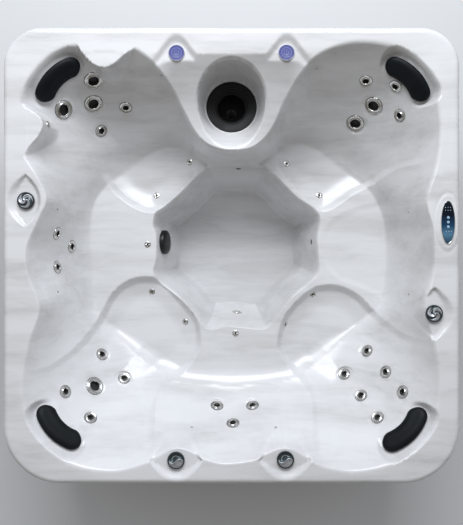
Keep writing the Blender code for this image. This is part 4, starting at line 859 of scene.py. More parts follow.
def acrylicLook():
    look, tree, shader, here = newLook("marbledAcrylic", acrylic["white"], acrylic["roughness"],
                                       Coat_Weight=0.1, Coat_Roughness=0.08)
    cloudMask, veinMask = useGroup(tree, marbling, {"Vector": here})[:2]
    cloudShare = calculated(tree, "MULTIPLY", cloudMask, 0.75)
    clouded = blended(tree, cloudShare, acrylic["white"], acrylic["cloud"])
    veinShare = calculated(tree, "MULTIPLY", veinMask, cloudMask)
    veinSoft = calculated(tree, "MULTIPLY", veinShare, 0.35)
    tree.links.new(blended(tree, veinSoft, clouded, acrylic["vein"]), shader.inputs["Base Color"])
    peel = addNode(tree, "ShaderNodeTexNoise", {"Vector": here, "Scale": 38.0, "Detail": 1.0})
    bumpFrom(tree, shader, peel.outputs[0], 0.12, 0.0006)
    return look


place("moulded_shell", shellMesh(), "tub", acrylicLook(), ["shell"], sharp=0)
print("moulded shell")


# ---- Geometry Nodes: a rule works on a starting mesh and ends as a plain mesh
def newRule(name, sizes):
    tree, goesIn, goesOut = newGroup(name, "GeometryNodeTree",
                                     [("Mesh", "NodeSocketGeometry", None)] + sizes
                                     + [("Finish", "NodeSocketMaterial", None)],
                                     [("Mesh", "NodeSocketGeometry")])
    tree.is_modifier = True
    return tree, goesIn.outputs, goesOut.inputs


def endRule(tree, shape, finish, goesOut):
    realized = addNode(tree, "GeometryNodeRealizeInstances", {0: shape})
    finished = addNode(tree, "GeometryNodeSetMaterial", {"Geometry": realized.outputs[0], "Material": finish})
    tree.links.new(finished.outputs[0], goesOut[0])


def applyRule(name, mesh, tree, values):
    holder = bpy.data.objects.new(name + "Rule", mesh)
    bpy.context.collection.objects.link(holder)
    modifier = holder.modifiers.new("rule", "NODES")
    modifier.node_group = tree
    for item in tree.interface.items_tree:
        if item.item_type == "SOCKET" and item.in_out == "INPUT" and item.name in values:
            modifier[item.identifier] = values[item.name]
    evaluated = holder.evaluated_get(bpy.context.evaluated_depsgraph_get())
    result = bpy.data.meshes.new_from_object(evaluated)
    result.name = name
    bpy.data.objects.remove(holder)
    return result


# places the starting mesh Count times, Step apart
rowRule, rowIn, rowOut = newRule("row", [("Count", "NodeSocketInt", 6), ("Start", "NodeSocketVector", None),
                                         ("Step", "NodeSocketVector", None)])
rowLine = addNode(rowRule, "GeometryNodeMeshLine", {"Count": rowIn["Count"], "Start Location": rowIn["Start"],
                                                    "Offset": rowIn["Step"]})
rowCopies = addNode(rowRule, "GeometryNodeInstanceOnPoints", {"Points": rowLine.outputs[0],
                                                              "Instance": rowIn["Mesh"]})
endRule(rowRule, rowCopies.outputs[0], rowIn["Finish"], rowOut)

# ribs across a round face: each as long as the chord it covers, standing on a dome
ribRule, ribIn, ribOut = newRule("ribs", [("Count", "NodeSocketInt", 9), ("Radius", "NodeSocketFloat", 0.05),
                                          ("Rise", "NodeSocketFloat", 0.012)])
ribSpan = calculated(ribRule, "MULTIPLY", ribIn["Radius"], 2.0)
ribGaps = calculated(ribRule, "ADD", ribIn["Count"], 1.0)
ribPitch = calculated(ribRule, "DIVIDE", ribSpan, ribGaps)
ribFirst = calculated(ribRule, "SUBTRACT", ribPitch, ribIn["Radius"])
ribStart = addNode(ribRule, "ShaderNodeCombineXYZ", {"X": ribFirst, "Z": ribIn["Rise"]})
ribStep = addNode(ribRule, "ShaderNodeCombineXYZ", {"X": ribPitch})
ribLine = addNode(ribRule, "GeometryNodeMeshLine",
                  {"Count": ribIn["Count"], "Start Location": ribStart.outputs[0],
                                                    "Offset": ribStep.outputs[0]})
ribPlace = addNode(ribRule, "GeometryNodeInputPosition")
ribSide = addNode(ribRule, "ShaderNodeSeparateXYZ", {0: ribPlace.outputs[0]})
ribShare = calculated(ribRule, "DIVIDE", ribSide.outputs["X"], ribIn["Radius"])
ribSquare = calculated(ribRule, "POWER", ribShare, 2.0)
ribLeft = calculated(ribRule, "SUBTRACT", 1.0, ribSquare)
ribChord = calculated(ribRule, "SQRT", ribLeft)
ribScale = addNode(ribRule, "ShaderNodeCombineXYZ", {"X": 1.0, "Y": ribChord, "Z": 1.0})
ribCopies = addNode(ribRule, "GeometryNodeInstanceOnPoints", {"Points": ribLine.outputs[0],
                                                              "Instance": ribIn["Mesh"],
                                                              "Scale": ribScale.outputs[0]})
endRule(ribRule, ribCopies.outputs[0], ribIn["Finish"], ribOut)

# folds the outside of a ring into pleats
pleatRule, pleatIn, pleatOut = newRule("pleats", [("Pleats", "NodeSocketFloat", 60.0),
                                                  ("Depth", "NodeSocketFloat", 0.01),
                                                  ("Inner", "NodeSocketFloat", 0.06)])
pleatPlace = addNode(pleatRule, "GeometryNodeInputPosition")
pleatParts = addNode(pleatRule, "ShaderNodeSeparateXYZ", {0: pleatPlace.outputs[0]})
pleatAngle = calculated(pleatRule, "ARCTAN2", pleatParts.outputs["Y"], pleatParts.outputs["X"])
pleatTurns = calculated(pleatRule, "MULTIPLY", pleatAngle, pleatIn["Pleats"])
pleatWave = calculated(pleatRule, "COSINE", pleatTurns)
pleatFlat = addNode(pleatRule, "ShaderNodeCombineXYZ",
                    {"X": pleatParts.outputs["X"], "Y": pleatParts.outputs["Y"]})
pleatReach = addNode(pleatRule, "ShaderNodeVectorMath", {0: pleatFlat.outputs[0]}, operation="LENGTH")
pleatOuter = calculated(pleatRule, "GREATER_THAN", pleatReach.outputs["Value"], pleatIn["Inner"])
pleatSize = calculated(pleatRule, "SUBTRACT", pleatWave, 1.0)
pleatHalf = calculated(pleatRule, "MULTIPLY", pleatSize, pleatIn["Depth"])
pleatMove = calculated(pleatRule, "MULTIPLY", pleatHalf, pleatOuter)
pleatWay = addNode(pleatRule, "ShaderNodeVectorMath", {0: pleatFlat.outputs[0]}, operation="NORMALIZE")
pleatOffset = addNode(pleatRule, "ShaderNodeVectorMath", {0: pleatWay.outputs[0]}, operation="SCALE")
pleatRule.links.new(pleatMove, pleatOffset.inputs["Scale"])
pleatSet = addNode(pleatRule, "GeometryNodeSetPosition", {"Geometry": pleatIn["Mesh"],
                                                          "Offset": pleatOffset.outputs[0]})
endRule(pleatRule, pleatSet.outputs[0], pleatIn["Finish"], pleatOut)


def blockMesh(name, low, high, bevel, segments=2):
    shape = bmesh.new()
    bmesh.ops.create_cube(shape, size=1)
    for corner in shape.verts:
        corner.co = Vector(low[i] + (corner.co[i] + 0.5) * (high[i] - low[i]) for i in range(3))
    bmesh.ops.bevel(shape, geom=shape.edges[:], offset=bevel, segments=segments, affect="EDGES", profile=0.5)
    mesh = bpy.data.meshes.new(name)
    shape.to_mesh(mesh)
    shape.free()
    return mesh


# ---- jets: a silver ring with a raised lip round a dark mouth, over a thin dark sheet whose edge past the ring is a painted shadow line
silverSteel = {"colour": (0.74, 0.73, 0.71), "shade": (0.58, 0.58, 0.56), "roughness": (0.16, 0.28)}
ringLook = plasticLook("satinChrome", silverSteel["colour"], silverSteel["shade"], silverSteel["roughness"],
                       700.0, 0.00003, 1.0)
mouthLook = plasticLook("jetMouth", (0.012, 0.012, 0.013), (0.006, 0.006, 0.007), (0.35, 0.55), 900.0,
                        0.00004)
jetShape = {
    "mouth": {"large": 0.58, "small": 0.48}, "lipHeight": 0.0049, "flangeHeight": 0.0026, "throat": 0.014,
    "seat": 0.0004, "edge": 0.0013, "sink": 0.01, "barrelShare": 0.58, "bandShare": 0.17, "cupShare": 0.57,
    "boreShare": 0.86, "barrel": 0.045, "shadowRim": 0.0013, "notches": 8, "notchDepth": 0.05, "oval": 0.1,
    "sides": 56,
}


def jetRing(name, radius, mouth, turn, notched):
    lip, flange, seat = jetShape["lipHeight"], jetShape["flangeHeight"], jetShape["seat"]
    barrel, inner, band = jetShape["barrelShare"] * radius, mouth * radius, jetShape["bandShare"] * radius
    profile = ((inner, -jetShape["sink"]), (barrel, -jetShape["sink"]), (barrel, seat), (radius, seat),
               (radius, jetShape["edge"]), (0.975 * radius, flange), (0.91 * radius, flange + 0.0002),
               (0.8 * radius, 0.0011), (inner + 1.2 * band, 0.0006), (inner + 0.9 * band, 0.0018),
               (inner + 0.55 * band, lip - 0.0004), (inner + 0.3 * band, lip),
               (inner + 0.1 * band, lip - 0.001), (inner, 0.001))

    def change(reach, height, angle):
        if notched and reach > 0.89 * radius:
            reach *= 1 - jetShape["notchDepth"] * max(0, math.cos(angle * jetShape["notches"])) ** 10
        if reach < 0.78 * radius:
            reach *= 1 - jetShape["oval"] * math.sin(angle - 0.6) ** 2
        return reach, height

    return outwards(latheMesh(name, profile, jetShape["sides"], turn, change))


def jetMouth(name, radius, mouth, turn):
    barrel, bore = jetShape["cupShare"] * radius, mouth * radius * jetShape["boreShare"]
    under, throat = -jetShape["sink"] - jetShape["seat"], -jetShape["throat"]
    cup = latheMesh(name, ((0, -jetShape["barrel"]), (barrel, -jetShape["barrel"]), (barrel, under),
                           (bore, under), (bore * 0.92, throat), (0, throat)), 32, turn)
    # a thin dark sheet a little wider than the ring: the band showing past its edge is a painted shadow line
    edge = radius + jetShape["shadowRim"]
    shadowRim = latheMesh(name, ((radius * 0.7, 0.0001), (edge, 0.0001), (edge, 0.0007),
                              (radius * 0.7, 0.00035)),
                       48, turn)
    return outwards(joinMeshes(name, [outwards(cup), outwards(shadowRim)]), 0)


for name, turn in jetFrames.items():
    large = name in jetSize["largeOnes"]
    mouth = jetShape["mouth"]["large" if large else "small"]
    place(name + "_ring", jetRing(name, jetRadius(name), mouth, turn, large), name, ringLook, [name],
          50)
    place(name + "_mouth", jetMouth(name, jetRadius(name), mouth, turn), name, mouthLook, sharp=40)
print("jets")

# ---- the small fittings: ozone, air and return outlets, each seated on the moulding
outlets = {
    "small": ((-0.211, 0.471), (-0.379, 0.303), (0.279, 0.463), (0.443, 0.305), (-0.402, -0.183),
              (-0.234, -0.336), (0.41, -0.196), (0.27, -0.346), (0.02, -0.388), (-0.418, 0.055)),
    "smallRadius": 0.0165, "neck": (-0.8175, 0.584), "neckRadius": 0.016, "return": (0.029, -0.301),
    "returnRadius": 0.025, "slots": ((0.035, 0.438), (0.408, 0.069)), "slotRadius": 0.013,
    "dots": ((-0.311, 0.799), (0.381, 0.836), (-0.789, 0.21), (-0.8, -0.167), (-0.182, -0.787),
             (0.202, -0.786), (0.821, 0.202), (0.823, -0.179)), "dotRadius": 0.0055,
}


def outletCap(name, x, y, radius, rise, slots):
    # a domed cap with sunk slots that meet in its middle
    def top(across, up):
        reach = math.hypot(across, up) / radius
        height = rise * math.sqrt(max(0, 1 - reach ** 3)) + 0.0003
        for slot in range(slots):
            angle = 2 * math.pi * slot / slots + 0.5
            along = across * math.cos(angle) + up * math.sin(angle)
            aside = -across * math.sin(angle) + up * math.cos(angle)
            if along > -0.1 * radius and along < 0.62 * radius:
                height -= rise * 0.8 * math.exp(-(aside / (0.16 * radius)) ** 2)
        return max(height, 0.0003)

    return outwards(reliefMesh(name, [0.1 + 0.09 * step for step in range(10)] + [1.0], 32,
                               lambda angle: (radius * math.cos(angle), radius * math.sin(angle)), top,
                               -0.001, surfaceFrame(x, y)))


place("ozone_outlets", joinMeshes("ozone_outlets",
                                  [outletCap("outlet", x, y, outlets["smallRadius"], 0.0035, 3)
                                                    for x, y in outlets["small"]]),
      "tub", ringLook, sharp=50)
place("outlet_slots", joinMeshes("outlet_slots", [
    outwards(latheMesh("slot", ((0, 0.0004), (outlets["smallRadius"] * 0.34, 0.0004),
                                (outlets["smallRadius"] * 0.3, 0.0034), (0, 0.0036)), 20, surfaceFrame(x, y)))
    for x, y in outlets["small"]]), "tub", mouthLook)
place("neck_outlet", outletCap("neck_outlet", *outlets["neck"], outlets["neckRadius"], 0.005, 5), "tub",
      ringLook, sharp=50)
returnFrame = surfaceFrame(*outlets["return"])
place("footwell_return", jetRing("footwell_return", outlets["returnRadius"], 0.4, returnFrame, False),
      "tub", ringLook, sharp=50)
place("footwell_return_mouth", outwards(latheMesh("footwell_return_mouth", (
    (0, -0.0095), (0.0083, -0.0095), (0.0083, -0.002), (0, -0.002)), 24, returnFrame)), "tub",
    mouthLook)
place("footwell_slots", joinMeshes("footwell_slots", [outwards(latheMesh("slot", (
    (0, -0.001), (outlets["slotRadius"], -0.001), (outlets["slotRadius"], 0.0012),
    (outlets["slotRadius"] * 0.8, 0.0022),
    (0, 0.0025)), 28, surfaceFrame(x, y) @ Matrix.Diagonal((1, 0.42, 1, 1)))) for x, y in outlets["slots"]]),
    "tub", mouthLook)
place("air_points", joinMeshes("air_points", [outwards(latheMesh("dot", (
    (0, -0.001), (outlets["dotRadius"], -0.001), (outlets["dotRadius"], 0.0008),
    (outlets["dotRadius"] * 0.7, 0.0015),
    (0, 0.0016)), 20, surfaceFrame(x, y))) for x, y in outlets["dots"]]), "tub",
    plasticLook("greyPoint", (0.36, 0.37, 0.4), (0.28, 0.29, 0.31), (0.3, 0.45)))
print("small outlets")

# ---- diverter knobs and air valves: a dark ring round a silver cap
knob = {"radius": 0.038, "rim": 0.0125, "cap": 0.0315, "stem": 0.012, "stemLength": 0.045, "dome": 0.017,
        "crest": 0.0065, "crestWidth": 0.0065, "sweep": 0.3, "fall": 0.0035, "sunk": 0.0045,
        "sunkFade": 0.006,
        "seat": 0.0006, "edge": 0.002, "bevel": 0.001, "gap": 0.0006, "floor": 0.0082, "capFoot": 0.0085,
        "grips": 24, "gripDepth": 0.0006, "gripFrom": 0.0375, "silver": (0.5, 0.52, 0.55),
        "dark": (0.055, 0.075, 0.085)}
darkRingLook = plasticLook("darkRing", (0.035, 0.04, 0.045), (0.02, 0.024, 0.028), (0.25, 0.4))


def knobCapLook():
    look, tree, shader, here = newLook("knobSilver", knob["silver"], 0.28, 0.55)
    zone = addNode(tree, "ShaderNodeAttribute", attribute_name="zone").outputs["Fac"]
    shade, grain = useGroup(tree, mouldedSkin, {"Vector": here, "Grain": 1200.0, "Patch": 60.0})[:2]
    # zone 0 is the cap's dark half and 1 its silver half; the brighter stop at 0.5 on the crest, with the
    # dimmer stop at 0.7 beside it, is a painted highlight
    tint = colourRamp(tree, zone, (0.0, knob["dark"]), (0.3, (0.11, 0.14, 0.155)), (0.5, (0.7, 0.72, 0.74)),
                      (0.7, (0.42, 0.44, 0.47)), (1.0, knob["silver"]))
    varied = mapped(tree, shade, start=0.9, end=1.0)
    finishWith(tree, shader, blended(tree, 1.0, tint, varied, "MULTIPLY"),
               mapped(tree, shade, start=0.24, end=0.36), grain, 0.3, 0.00003)
    return look


knobLook = knobCapLook()


def crestPlace(x, y, blades):
    # how far a point is from the crest, and which side of it
    if blades:
        angle = math.atan2(y, x) + 2.2 * math.hypot(x, y) / knob["cap"]
        turn = (angle * 3 / (2 * math.pi)) % 1
        return (turn - 0.5) * 2 * math.hypot(x, y) * 0.9
    return y - knob["cap"] * knob["sweep"] * math.sin(math.pi * x / knob["cap"])


def knobCap(name, turn, blades):
    def top(x, y):
        reach = math.hypot(x, y) / knob["cap"]
        side = crestPlace(x, y, blades)
        dome = knob["dome"] - knob["fall"] * reach ** 2
        sunk = knob["sunk"] * easeBetween(side / knob["sunkFade"]) * (1 - reach ** 4)
        ridge = knob["crest"] * math.exp(-(side / knob["crestWidth"]) ** 2) * (1 - reach ** 6)
        return dome - sunk + ridge

    rings = [0.04 + 0.04 * step for step in range(24)] + [1.0]
    mesh = reliefMesh(name, rings, 72, lambda angle: (knob["cap"] * math.cos(angle),
                                                      knob["cap"] * math.sin(angle)),
                      top, knob["capFoot"], turn)
    zones = mesh.attributes.new("zone", "FLOAT", "POINT")
    back = turn.inverted()
    for corner, value in zip(mesh.vertices, zones.data):
        spot = back @ corner.co
        side = crestPlace(spot.x, spot.y, blades)
        # the crest line gets zone 0.5, the painted highlight; a pale arc on the dark side gets 0.45
        arc = abs(math.hypot(spot.x, spot.y - 0.004) - 0.017) < 0.0016 and side > 0.008
        value.value = 0.45 if arc else float(np.clip(0.5 - side / 0.012, 0, 1))
    return mesh


def gripped(reach, height, angle):
    # fine grips cut into the ring's side
    cut = math.cos(knob["grips"] * angle) > 0.4 and reach > knob["gripFrom"]
    return reach - knob["gripDepth"] * cut, height


ringEdge = knob["cap"] + knob["gap"]
knobProfile = ((0, -knob["stemLength"]), (knob["stem"], -knob["stemLength"]), (knob["stem"], knob["seat"]),
               (knob["radius"] - knob["bevel"], knob["seat"]), (knob["radius"], knob["edge"]),
               (knob["radius"], knob["rim"] - knob["edge"]), (knob["radius"] - knob["bevel"], knob["rim"]),
               (ringEdge + 0.0008, knob["rim"]), (ringEdge, knob["floor"]), (0, knob["floor"]))
for name in ("front_left_knob", "front_right_knob", "left_knob", "right_knob"):
    turn = Matrix.Translation((*ledgeSpots[name][0], tub["height"] - ledge["drop"]))
    place(name + "_cap", knobCap(name, turn, name in ("left_knob", "right_knob")), name, knobLook,
          [name], 70)
    place(name + "_ring", outwards(latheMesh(name, knobProfile, 72, turn, gripped)), name,
          darkRingLook, sharp=40)
print("knobs")

# ---- lights: a violet lens with concentric rings in a thin pale bezel
lens = {"radius": 0.037, "bezel": 0.0345, "gap": 0.0012, "foot": 0.0022, "low": 0.0046, "dome": 0.0016,
        "teeth": 20, "tooth": 0.0007, "stem": 0.012, "stemDepth": 0.045, "seat": 0.0004, "lip": 0.0009,
        "centre": (0.085, 0.095, 0.27), "band": (0.17, 0.185, 0.42), "edge": (0.07, 0.075, 0.24)}


def lensLook():
    look, tree, shader, here = newLook("violetLens", lens["centre"], 0.2, 0.0, Specular_IOR_Level=0.25)
    reach = addNode(tree, "ShaderNodeAttribute", attribute_name="reach").outputs["Fac"]
    turns = calculated(tree, "MULTIPLY", reach, 2 * math.pi * 3.2)
    wave = calculated(tree, "COSINE", turns)
    band = mapped(tree, wave, -1.0, 1.0)
    speck = addNode(tree, "ShaderNodeTexNoise", {"Vector": here, "Scale": 240.0, "Detail": 1.0}).outputs[0]
    mixed = calculated(tree, "MULTIPLY", band, speck)
    ringed = colourRamp(tree, mixed, (0.0, lens["centre"]), (0.5, lens["band"]), (1.0, (0.3, 0.32, 0.55)))
    edge = mapped(tree, reach, 0.82, 0.95)
    tree.links.new(blended(tree, edge, ringed, lens["edge"]), shader.inputs["Base Color"])
    bumpFrom(tree, shader, band, 0.35, 0.0006)
    return look


violetLens = lensLook()
bezelLook = plasticLook("paleBezel", (0.62, 0.63, 0.68), (0.5, 0.51, 0.56), (0.2, 0.3), 800.0, 0.00003)
for name in ("left_light", "right_light"):
    turn = Matrix.Translation((*ledgeSpots[name][0], tub["height"] - ledge["drop"]))
    inside = lens["bezel"] - lens["gap"]
    profile = [(0, lens["foot"]), (inside, lens["foot"]), (inside, lens["low"])]
    for step in range(lens["teeth"]):
        share = 1 - (step + 1) / (lens["teeth"] + 1)
        tooth = lens["tooth"] * ((step % 4) / 3)
        profile.append((inside * share, lens["low"] + lens["dome"] * (1 - share ** 2) - tooth))
    profile.append((0, lens["low"] + lens["dome"]))
    mesh = outwards(latheMesh(name, profile, 56, turn), 0)
    reach = mesh.attributes.new("reach", "FLOAT", "POINT")
    for corner, value in zip(mesh.vertices, reach.data):
        value.value = (corner.co - turn.translation).xy.length / lens["bezel"]
    place(name + "_lens", mesh, "tub", violetLens, [name], 30)
    lip = lens["bezel"] - lens["lip"]
    edge = ((0, -lens["stemDepth"]), (lens["stem"], -lens["stemDepth"]), (lens["stem"], lens["seat"]),
            (lens["radius"], lens["seat"]), (lens["radius"], 0.0028), (lens["radius"] - 0.0008, 0.0042),
            (lens["bezel"] + 0.0002, 0.0054), (lip, 0.005), (lip, lens["foot"] - 0.0003),
            (0, lens["foot"] - 0.0003))
    place(name + "_bezel", outwards(latheMesh(name, edge, 72, turn)), "tub", bezelLook,
          sharp=40)
print("lights")

# ---- control panel: a domed blue overlay in a silver bezel, with keys and rows of pale dots
screen = {"height": 0.008, "stemDepth": 0.03, "navy": (0.004, 0.008, 0.016), "blue": (0.014, 0.05, 0.11),
          "pale": (0.09, 0.2, 0.31), "buttonRadius": 0.006, "travel": 0.0015, "pocket": 0.006,
          "spacing": 0.02,
          "dotRadius": 0.0016, "dotRows": ((-0.012, 0.052, 3), (-0.012, 0.064, 3), (-0.009, -0.04, 3)),
          "dotStep": 0.011}
panelFrame = Matrix.Translation((panel["x"], panel["y"], tub["height"]))


def panelLook():
    look, tree, shader, here = newLook("panelOverlay", screen["blue"], 0.14, 0.0, Specular_IOR_Level=0.12)
    apart = addNode(tree, "ShaderNodeSeparateXYZ", {0: here})
    along = mapped(tree, apart.outputs["Y"], panel["y"] - panel["halfLength"],
                   panel["y"] + panel["halfLength"])
    fade = colourRamp(tree, along, (0.0, (0.02, 0.05, 0.085)), (0.22, screen["pale"]), (0.42, screen["blue"]),
                      (0.66, screen["navy"]), (1.0, (0.006, 0.01, 0.016)))
    shade, grain = useGroup(tree, mouldedSkin, {"Vector": here, "Grain": 1500.0, "Patch": 40.0})[:2]
    finishWith(tree, shader, fade, mapped(tree, shade, start=0.1, end=0.2), grain, 0.15, 0.00002)
    return look


def ovalRing(halfX, halfY, height, count=80):
    return [(halfX * math.cos(2 * math.pi * i / count), halfY * math.sin(2 * math.pi * i / count), height)
            for i in range(count)]


def panelMesh():
    halfX, halfY, high = panel["halfWidth"], panel["halfLength"], screen["height"]
    stem = 0.4
    rings = [ovalRing(halfX * stem, halfY * stem, -screen["stemDepth"]),
             ovalRing(halfX * stem, halfY * stem, 0.0006)]
    rings += [ovalRing(halfX * a, halfY * b, height) for a, b, height in (
        (0.9, 0.965, 0.0006), (0.9, 0.965, high * 0.72), (0.84, 0.945, high * 0.95), (0.8, 0.93, high))]
    holder = bpy.data.objects.new("panelBlank", outwards(loftMesh("panelBlank", rings), 0))
    holder.data.transform(panelFrame)
    cutter = bpy.data.objects.new("pocketTool", joinMeshes("pocketTool", [
        latheMesh("pocket", ((0, -screen["pocket"]), (screen["buttonRadius"] + 0.0004, -screen["pocket"]),
                             (screen["buttonRadius"] + 0.0004, 0.01), (0, 0.01)), 32, buttonFrame(number))
        for number in (1, 2, 3)]))
    for item in (holder, cutter):
        bpy.context.collection.objects.link(item)
    cutter.hide_render = True
    cut = holder.modifiers.new("pockets", "BOOLEAN")
    cut.object, cut.solver = cutter, "EXACT"
    mesh = bpy.data.meshes.new_from_object(holder.evaluated_get(bpy.context.evaluated_depsgraph_get()))
    for item in (holder, cutter):
        bpy.data.objects.remove(item)
    return mesh


def buttonFrame(number):
    return panelFrame @ Matrix.Translation((0, (number - 2) * screen["spacing"], screen["height"]))


place("panel_overlay", panelMesh(), "tub", panelLook(), ["control_panel"], 40)
bezelRings = [ovalRing(panel["halfWidth"] * a, panel["halfLength"] * b, height) for a, b, height in (
    (0.905, 0.968, 0.0006), (1.0, 1.0, 0.0006), (1.0, 1.0, 0.0042), (0.985, 0.994, 0.0062),
    (0.95, 0.984, 0.0068), (0.915, 0.972, 0.0062))]
bezelMesh = loftMesh("panelBezel", bezelRings + [bezelRings[0]], capped=False)
bezelMesh.transform(panelFrame)
place("panel_bezel", outwards(bezelMesh), "tub", ringLook, sharp=40)
dotMesh = latheMesh("dot", ((0, 0), (screen["dotRadius"], 0), (screen["dotRadius"] * 0.8, 0.0004),
                            (0, 0.0005)), 10)
dotLook = plasticLook("paleDot", (0.78, 0.84, 0.9), (0.66, 0.74, 0.82), (0.25, 0.4))
dotRows = [applyRule("dots", dotMesh, rowRule, {
    "Count": count, "Start": (panel["x"] + x, panel["y"] + y, tub["height"] + screen["height"]),
    "Step": (screen["dotStep"], 0, 0), "Finish": dotLook}) for x, y, count in screen["dotRows"]]
place("panel_dots", outwards(joinMeshes("panel_dots", dotRows), 0), "tub", dotLook)
keyLook = plasticLook("paleKey", (0.34, 0.52, 0.66), (0.28, 0.44, 0.58), (0.3, 0.45), Coat_Weight=0.2)
for number in (1, 2, 3):
    radius, name = screen["buttonRadius"], f"panel_button_{number}"
    profile = ((0, 0.0022 - screen["pocket"]), (radius, 0.0022 - screen["pocket"]), (radius, 0.0008),
               (radius * 0.93, 0.00125), (radius * 0.8, screen["travel"]), (radius * 0.4, 0.00125),
               (0, 0.0011))
    place(name + "_key", outwards(latheMesh(name, profile, 36, buttonFrame(number))), name,
          keyLook, [name])
print("control panel")

# ---- head pillows: moulded foam beans, crowned, with a dished middle and a fine seam
pillowFinish = {"colour": (0.005, 0.0065, 0.008), "worn": (0.009, 0.011, 0.013), "rings": 72, "points": 44,
                "seam": 0.0007}


def pillowMesh(name):
    radius, halfAngle, below = pillowArc()
    over = pillow["halfWidth"] / radius
    widestShare, tuck, turned = 0.3, 0.12, 0.6
    rings = []
    for step in range(pillowFinish["rings"] + 1):
        swing = -math.cos(math.pi * step / pillowFinish["rings"]) * 0.998
        angle = swing * (halfAngle + over)
        past = max(0, abs(angle) - halfAngle) / over
        half = pillow["halfWidth"] * math.sqrt(max(0, 1 - past ** 2))
        crown = pillow["crown"] * math.sqrt(half / pillow["halfWidth"])
        widest = crown * widestShare
        ring = []
        for index in range(pillowFinish["points"]):
            turn = 2 * math.pi * index / pillowFinish["points"]
            side, rise = math.cos(turn), math.sin(turn)
            height = widest + (crown - widest if rise > 0 else widest / turned) * rise
            if rise > 0:
                height -= pillow["dish"] * math.exp(-(side / 0.45) ** 2) * (half / pillow["halfWidth"]) ** 4
            seam = pillowFinish["seam"] * math.exp(-(rise / 0.07) ** 2)
            reach = radius + side * (half * (1 + tuck * min(rise, 0)) - seam * (half > 0.01))
            ring.append((reach * math.sin(angle), reach * math.cos(angle) - below, max(height, 0) + 0.0006))
        rings.append(ring)
    mesh = outwards(loftMesh(name, rings), 0)
    mesh.transform(pillowFrame(name)[0])
    return mesh


def pillowLook():
    look, tree, shader, here = newLook("pillowSkin", pillowFinish["colour"], 0.46, 0.0,
                                       Specular_IOR_Level=0.12)
    shade, grain = useGroup(tree, mouldedSkin, {"Vector": here, "Grain": 420.0, "Patch": 9.0})[:2]
    colour = colourRamp(tree, shade, (0.0, pillowFinish["colour"]), (1.0, pillowFinish["worn"]))
    pores = addNode(tree, "ShaderNodeTexVoronoi", {"Vector": here, "Scale": 520.0}).outputs[0]
    finishWith(tree, shader, colour, mapped(tree, shade, start=0.36, end=0.5),
               calculated(tree, "ADD", grain, pores), 0.3, 0.00012)
    return look


pillowSkin = pillowLook()
for name in pillow["spots"]:
    piece = place(name + "_bean", pillowMesh(name), "tub", pillowSkin, [name], 0)
    piece.data.shade_smooth()
print("pillows")

# ---- skimmer filter: a floating black ring, its canister and a pleated cartridge
filterSet = {"weir": 0.1196, "weirTop": 0.634, "weirLow": 0.58, "hole": 0.064, "canisterFoot": 0.2,
             "wall": 0.005,
             "flange": 0.012, "cartridge": 0.088, "bore": 0.025, "cartridgeTop": 0.475, "capHeight": 0.0115,
             "pleats": 54, "pleatDepth": 0.005, "pleatInner": 0.06}
# the ring's steps down to its hole: outer radius and height, then inner radius and height
weirSteps = ((0.1148, 0.6285, 0.104, 0.627), (0.1032, 0.6245, 0.0925, 0.6225),
             (0.0918, 0.6185, 0.0815, 0.616), (0.0808, 0.6115, 0.0715, 0.608), (0.0708, 0.603, 0.0655, 0.6))
filterFrame = Matrix.Translation((0, well["y"], 0))
weirTop, weirEdge = filterSet["weirTop"], filterSet["weir"]
weirProfile = [(filterSet["hole"], filterSet["weirLow"]), (weirEdge, filterSet["weirLow"]),
               (weirEdge, weirTop - 0.002), (weirEdge - 0.0008, weirTop), (weirEdge - 0.0034, weirTop),
               (weirEdge - 0.0042, weirTop - 0.0015)]
for outerRadius, outerHeight, innerRadius, innerHeight in weirSteps:
    weirProfile += [(outerRadius, outerHeight), (innerRadius, innerHeight)]
weirProfile.append((filterSet["hole"], innerHeight - 0.003))
weirLook = plasticLook("weirBlack", (0.005, 0.005, 0.0052), (0.003, 0.003, 0.0032), (0.4, 0.55), 900.0,
                       0.00004, Specular_IOR_Level=0.25)
place("skimmer_ring", outwards(latheMesh("skimmer_ring", weirProfile, 96, filterFrame)), "skimmer_weir",
      weirLook, ["skimmer_weir"], 30)
under = well["height"] - tub["wall"] - ringGap
bore, outer = well["ring"] + ringGap, well["ring"] + filterSet["wall"] + ringGap
flange = outer + filterSet["flange"]
foot = filterSet["canisterFoot"]
canisterProfile = ((0, foot), (outer - 0.004, foot), (outer, foot + 0.004), (outer, under - 0.02),
                   (outer + 0.0025, under - 0.012), (flange, under - 0.005), (flange, under), (bore, under),
                   (bore, foot + 0.008), (bore - 0.003, foot + 0.005), (0, foot + 0.005))
place("filter_housing", outwards(latheMesh("filter_housing", canisterProfile, 96, filterFrame)), "tub",
      plasticLook("housingGrey", (0.04, 0.04, 0.038), (0.028, 0.028, 0.026), (0.4, 0.55)),
      ["filter_canister"])
clothLook = plasticLook("filterCloth", (0.74, 0.75, 0.72), (0.6, 0.61, 0.58), (0.75, 0.9), 1500.0, 0.0002)
low, high = foot + filterSet["wall"] + ringGap, filterSet["cartridgeTop"]
clothEdge, clothInset = filterSet["cartridge"] - 0.001, filterSet["capHeight"] + 0.0005
cartridgeBlank = latheMesh("cartridge", ((filterSet["bore"], low + clothInset), (clothEdge, low + clothInset),
                                         (clothEdge, high - clothInset),
                                         (filterSet["bore"], high - clothInset)),
                           filterSet["pleats"] * 6)
pleated = applyRule("pleats", outwards(cartridgeBlank), pleatRule, {
    "Pleats": float(filterSet["pleats"]), "Depth": filterSet["pleatDepth"], "Inner": filterSet["pleatInner"],
    "Finish": clothLook})
pleated.transform(filterFrame)
place("cartridge_pleats", pleated, "tub", clothLook, ["filter_cartridge"], 60)
capProfile = [(filterSet["bore"], 0), (filterSet["cartridge"], 0),
              (filterSet["cartridge"], filterSet["capHeight"]), (filterSet["bore"], filterSet["capHeight"])]
